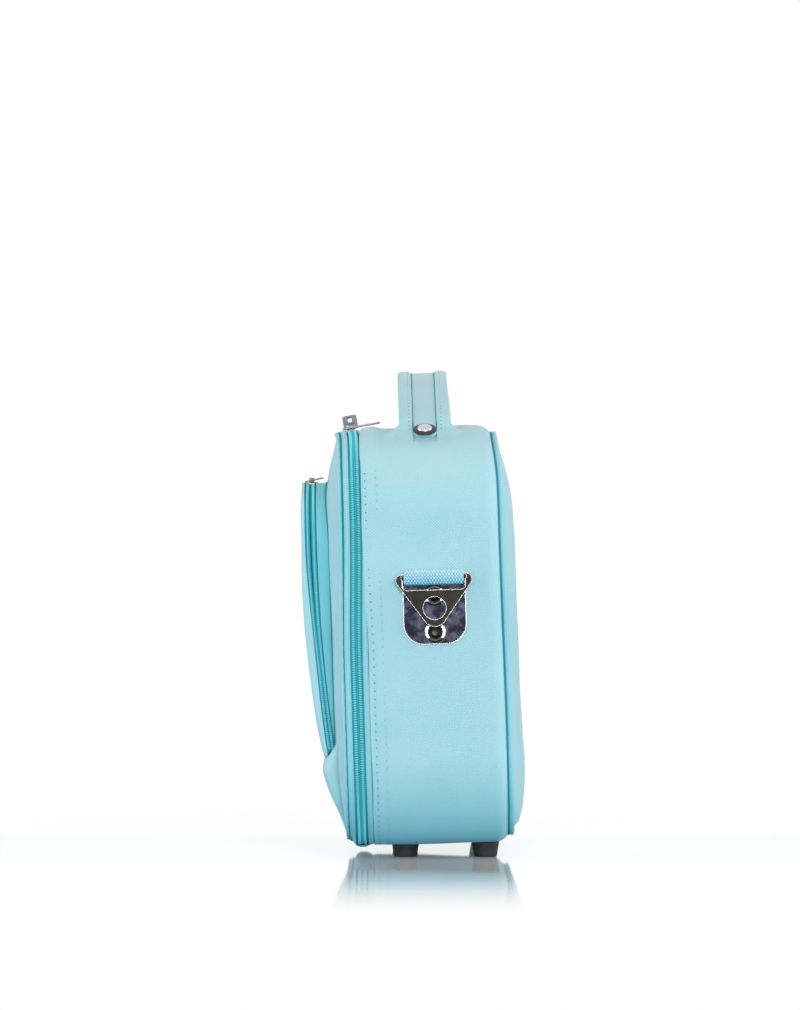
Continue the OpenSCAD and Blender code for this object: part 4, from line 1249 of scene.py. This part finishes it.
def case_lining():
    """The lining of the sleeve and back: it runs in from the mouth along the sleeve, across the
    ledge behind it and over the inside of the back's dome to the middle."""
    c, n = case_path(5.0)
    ring = np.linspace(39.7, 0, 12)
    r = np.concatenate([np.full(18, 51.0), np.linspace(51, 39.9, 5)[1:], [39.8], ring, np.zeros(10)])
    f = np.concatenate(
        [
            np.linspace(42, -38.8, 17), [-39.4], np.full(4, -39.4), [-42.8],
            np.full(22, -43.5),
        ]
    )
    shrink = np.concatenate([np.ones(35), np.linspace(1, 0, 11)[1:]])
    x = c[:, :1] * shrink + r * n[:, :1]
    h = MIDDLE_H + c[:, 1:] * shrink + r * n[:, 1:]
    f = np.where(f < -43, back_face(x, h, 4.9), f)
    line = c + 56 * n
    u = lengths(np.concatenate([line, line[:1]]))
    v = np.concatenate([[0], np.cumsum(np.abs(np.diff(r)) + 3 - np.diff(shrink) * 100)])
    made = surface("body_lining_cloth", world(x, h, f + 0 * x), u, v / 1000, True, False,
                   centre=world(0, MIDDLE_H, 0))
    made.data.flip_normals()
    thicken(made, 0.6)
    return made


def lid_lining():
    """The lining inside the lid: the underside of its dome, in to the middle."""
    c, n = case_path(5.0)
    ring = np.linspace(47, 0, 14)
    r = np.concatenate([[50.3, 47.4], ring, np.zeros(10)])
    f = np.concatenate(
        [[55.7, 55.7], 58.6 + dome(51.4, 9.6, ring) - 4.2, np.full(10, 58.6 + 9.6 - 4.2)]
    )
    shrink = np.concatenate([np.ones(16), np.linspace(1, 0, 11)[1:]])
    x = c[:, :1] * shrink + r * n[:, :1]
    h = MIDDLE_H + c[:, 1:] * shrink + r * n[:, 1:]
    line = c + 56 * n
    u = lengths(np.concatenate([line, line[:1]]))
    v = np.concatenate([[0], np.cumsum(np.abs(np.diff(r)) + 3 - np.diff(shrink) * 100)])
    made = surface("lid_lining_cloth", world(x, h, f + 0 * x), u, v / 1000, True, False,
                   centre=world(0, MIDDLE_H, 0))
    made.data.flip_normals()
    thicken(made, 0.6)
    return made


dress(case_lining(), "case", "lining", lining_taffeta, "body_lining")
dress(lid_lining(), "lid", "lining", lining_taffeta, "lid_lining")


def flap_lining():
    """The lining behind the flap: a sheet 1.8 behind its front, inside its edge."""
    h = np.linspace(92.5, 230.3, 40)[:, None]
    width = 135 - 39 + np.sqrt(np.maximum(39.0**2 - np.maximum(h - 191.5, 0) ** 2, 0))
    x = width * np.linspace(-1, 1, 61)
    made = surface(
        "flap_lining_cloth", world(x, h + 0 * x, flap_front(h) - 2.3 + 0 * x), h[:, 0] / 1000,
        np.linspace(-0.135, 0.135, 61), centre=world(0, 150, 300),
    )
    thicken(made, 0.6)
    return made


dress(flap_lining(), "flap", "lining", lining_taffeta, "flap_lining")


# Hard pieces: merged copies of the CAD's solids with their edges broken


def bevelled(node, body, slot, material, edge, segments=2):
    """A copy of a CAD solid with doubles merged and a Bevel of edge mm on its sharp edges."""
    made = bpy.data.objects.new(node + "_finished", nodes[node].data.copy())
    bpy.context.scene.collection.objects.link(made)
    shell = bmesh.new()
    shell.from_mesh(made.data)
    bmesh.ops.remove_doubles(shell, verts=shell.verts, dist=1e-6)
    shell.to_mesh(made.data)
    shell.free()
    made.data.shade_smooth()
    bevel = made.modifiers.new("edges", "BEVEL")
    bevel.width = edge / 1000
    bevel.segments = segments
    bevel.limit_method = "ANGLE"
    bevel.angle_limit = math.radians(35)
    flat = made.modifiers.new("flat", "WEIGHTED_NORMAL")
    flat.weight = 100
    dress(made, body, slot, material, node)


for node, body, slot, material, edge in (
    ("anchor_plates", "case", "dark_nickel", scratched_nickel, 0.1),
    ("strap_ring_right", "ring_right", "dark_nickel", black_nickel, 0.1),
    ("strap_ring_left", "ring_left", "dark_nickel", black_nickel, 0.1),
    ("main_slider_near", "slider_near", "chrome", satin_chrome, 0.2),
    ("main_slider_far", "slider_far", "chrome", satin_chrome, 0.2),
    ("pocket_slider", "slider_pocket", "chrome", satin_chrome, 0.15),
    ("main_pull_near", "pull_near", "chrome", satin_chrome, 0.25),
    ("main_pull_far", "pull_far", "chrome", satin_chrome, 0.25),
    ("pocket_pull", "pull_pocket", "chrome", satin_chrome, 0.18),
    ("feet", "case", "rubber", moulded_rubber, 0.3),
):
    bevelled(node, body, slot, material, edge)

# The hollow rivets: a blind bowl, a rolled lip, a dished flange and the shank behind
rivet = [
    (0, -1.35), (1.8, -1.3), (3.2, -1.0), (3.6, -0.3), (3.75, 0.25), (4.0, 0.42), (4.3, 0.38),
    (4.55, 0.1), (4.8, 0.05), (5.6, 0.22), (6.2, 0.1), (6.6, -0.25), (6.75, -0.75), (4.45, -0.95),
    (4.45, -7.45), (0, -7.45),
]
for side, name in ((1, "right"), (-1, "left")):
    for level, h in (("lower", 136.5), ("upper", 159.9)):
        dress(
            turned(
                "anchor_rivet_" + level + "_" + name, rivet, (side * 170.0, h, 0),
                turn=0 if side > 0 else math.pi,
            ),
            "case", "dark_nickel", glint_painted_nickel, "anchor_rivets",
        )

for node, material in (
    ("gusset_board", fibre_board),
    ("back_board", fibre_board),
    ("base_board", fibre_board),
    ("lid_board", fibre_board),
    ("handle_backing_washers", chrome_plate),
    ("foot_screws", chrome_plate),
    ("foot_nuts", chrome_plate),
    ("anchor_backing_plates", chrome_plate),
):
    for slot in nodes[node].material_slots:
        slot.material = material


# Floor, light and camera


def studio():
    """A glossy sheet, three large soft lamps and the camera. To the camera the sheet reflects what
    stands on it and turns plain white from 0.28 to 0.84 m away, where it meets the white backdrop.
    The light that it throws back up is the case's own colour, as on a small table in front of it."""
    mesh = bpy.data.meshes.new("floor")
    mesh.from_pydata([(-9, -9, 0), (9, -9, 0), (9, 9, 0), (-9, 9, 0)], [], [(0, 1, 2, 3)])
    floor = bpy.data.objects.new("floor", mesh)
    bpy.context.scene.collection.objects.link(floor)
    made, tree, shader = start(
        "white_acrylic", Roughness=0.04, Base_Color=linear("#ffffff"), Emission_Color=(1, 1, 1, 1),
        Emission_Strength=0.06,
    )
    path = tree.nodes.new("ShaderNodeLightPath").outputs
    glow = add(tree, "ShaderNodeEmission", {}, {"Color": (1, 1, 1, 1), "Strength": 1.0})
    place = tree.nodes.new("ShaderNodeTexCoord").outputs["Object"]
    away = tree.nodes.new("ShaderNodeVectorMath")
    away.operation = "LENGTH"
    tree.links.new(place, away.inputs[0])
    white = add(
        tree, "ShaderNodeMapRange", {"interpolation_type": "SMOOTHSTEP"},
        {
            "Value": away.outputs["Value"], "From Min": 0.28, "From Max": 0.84,
            "To Min": 0.0, "To Max": 1.0,
        },
    )
    look = add(tree, "ShaderNodeMixShader", {}, {0: white, 1: shader.outputs["BSDF"], 2: glow})
    bounce = add(tree, "ShaderNodeBsdfDiffuse", {}, {"Color": linear("#62c1d2")})
    seen = add(
        tree, "ShaderNodeMath", {"operation": "MAXIMUM"},
        {0: path["Is Camera Ray"], 1: path["Is Glossy Ray"]},
    )
    both = add(tree, "ShaderNodeMixShader", {}, {0: seen, 1: bounce, 2: look})
    tree.links.new(both, tree.nodes["Material Output"].inputs["Surface"])
    mesh.materials.append(made)

    sky = bpy.data.worlds.new("studio_white")
    sky.use_nodes = True
    tree = sky.node_tree
    path = tree.nodes.new("ShaderNodeLightPath").outputs
    seen = add(
        tree, "ShaderNodeMath", {"operation": "MAXIMUM"},
        {0: path["Is Camera Ray"], 1: path["Is Glossy Ray"]},
    )
    level = add(tree, "ShaderNodeMath", {"operation": "MULTIPLY_ADD"}, {0: seen, 1: 0.67, 2: 0.33})
    back = tree.nodes["Background"]
    back.inputs["Color"].default_value = (1, 1, 1, 1)
    tree.links.new(level, back.inputs["Strength"])
    bpy.context.scene.world = sky

    for name, at, aim, size, power in (
        ("softbox_side", (3.4, 0.5, 0.72), (0, 0, 0.12), 1.6, 64),
        ("softbox_back", (0.4, 2.6, 1.1), (0, 0, 0.15), 1.4, 30),
        ("softbox_front", (0.5, -2.8, 1.0), (0, 0, 0.15), 1.4, 38),
    ):
        lamp = bpy.data.lights.new(name, "AREA")
        lamp.shape = "SQUARE"
        lamp.size = size
        lamp.energy = power
        made = bpy.data.objects.new(name, lamp)
        bpy.context.scene.collection.objects.link(made)
        made.location = at
        away = np.array(at) - aim
        away = away / np.linalg.norm(away)
        made.rotation_euler = (math.acos(away[2]), 0, math.atan2(away[1], away[0]) + math.pi / 2)

    view = bpy.data.cameras.new("side_view")
    view.lens = 280.7
    view.sensor_width = 36
    eye = bpy.data.objects.new("side_view", view)
    bpy.context.scene.collection.objects.link(eye)
    eye.location = (5.168, -0.0091, 0.226)
    eye.rotation_euler = (math.pi / 2, 0, math.pi / 2)
    bpy.context.scene.camera = eye
    bpy.context.scene.view_settings.view_transform = "Standard"


studio()
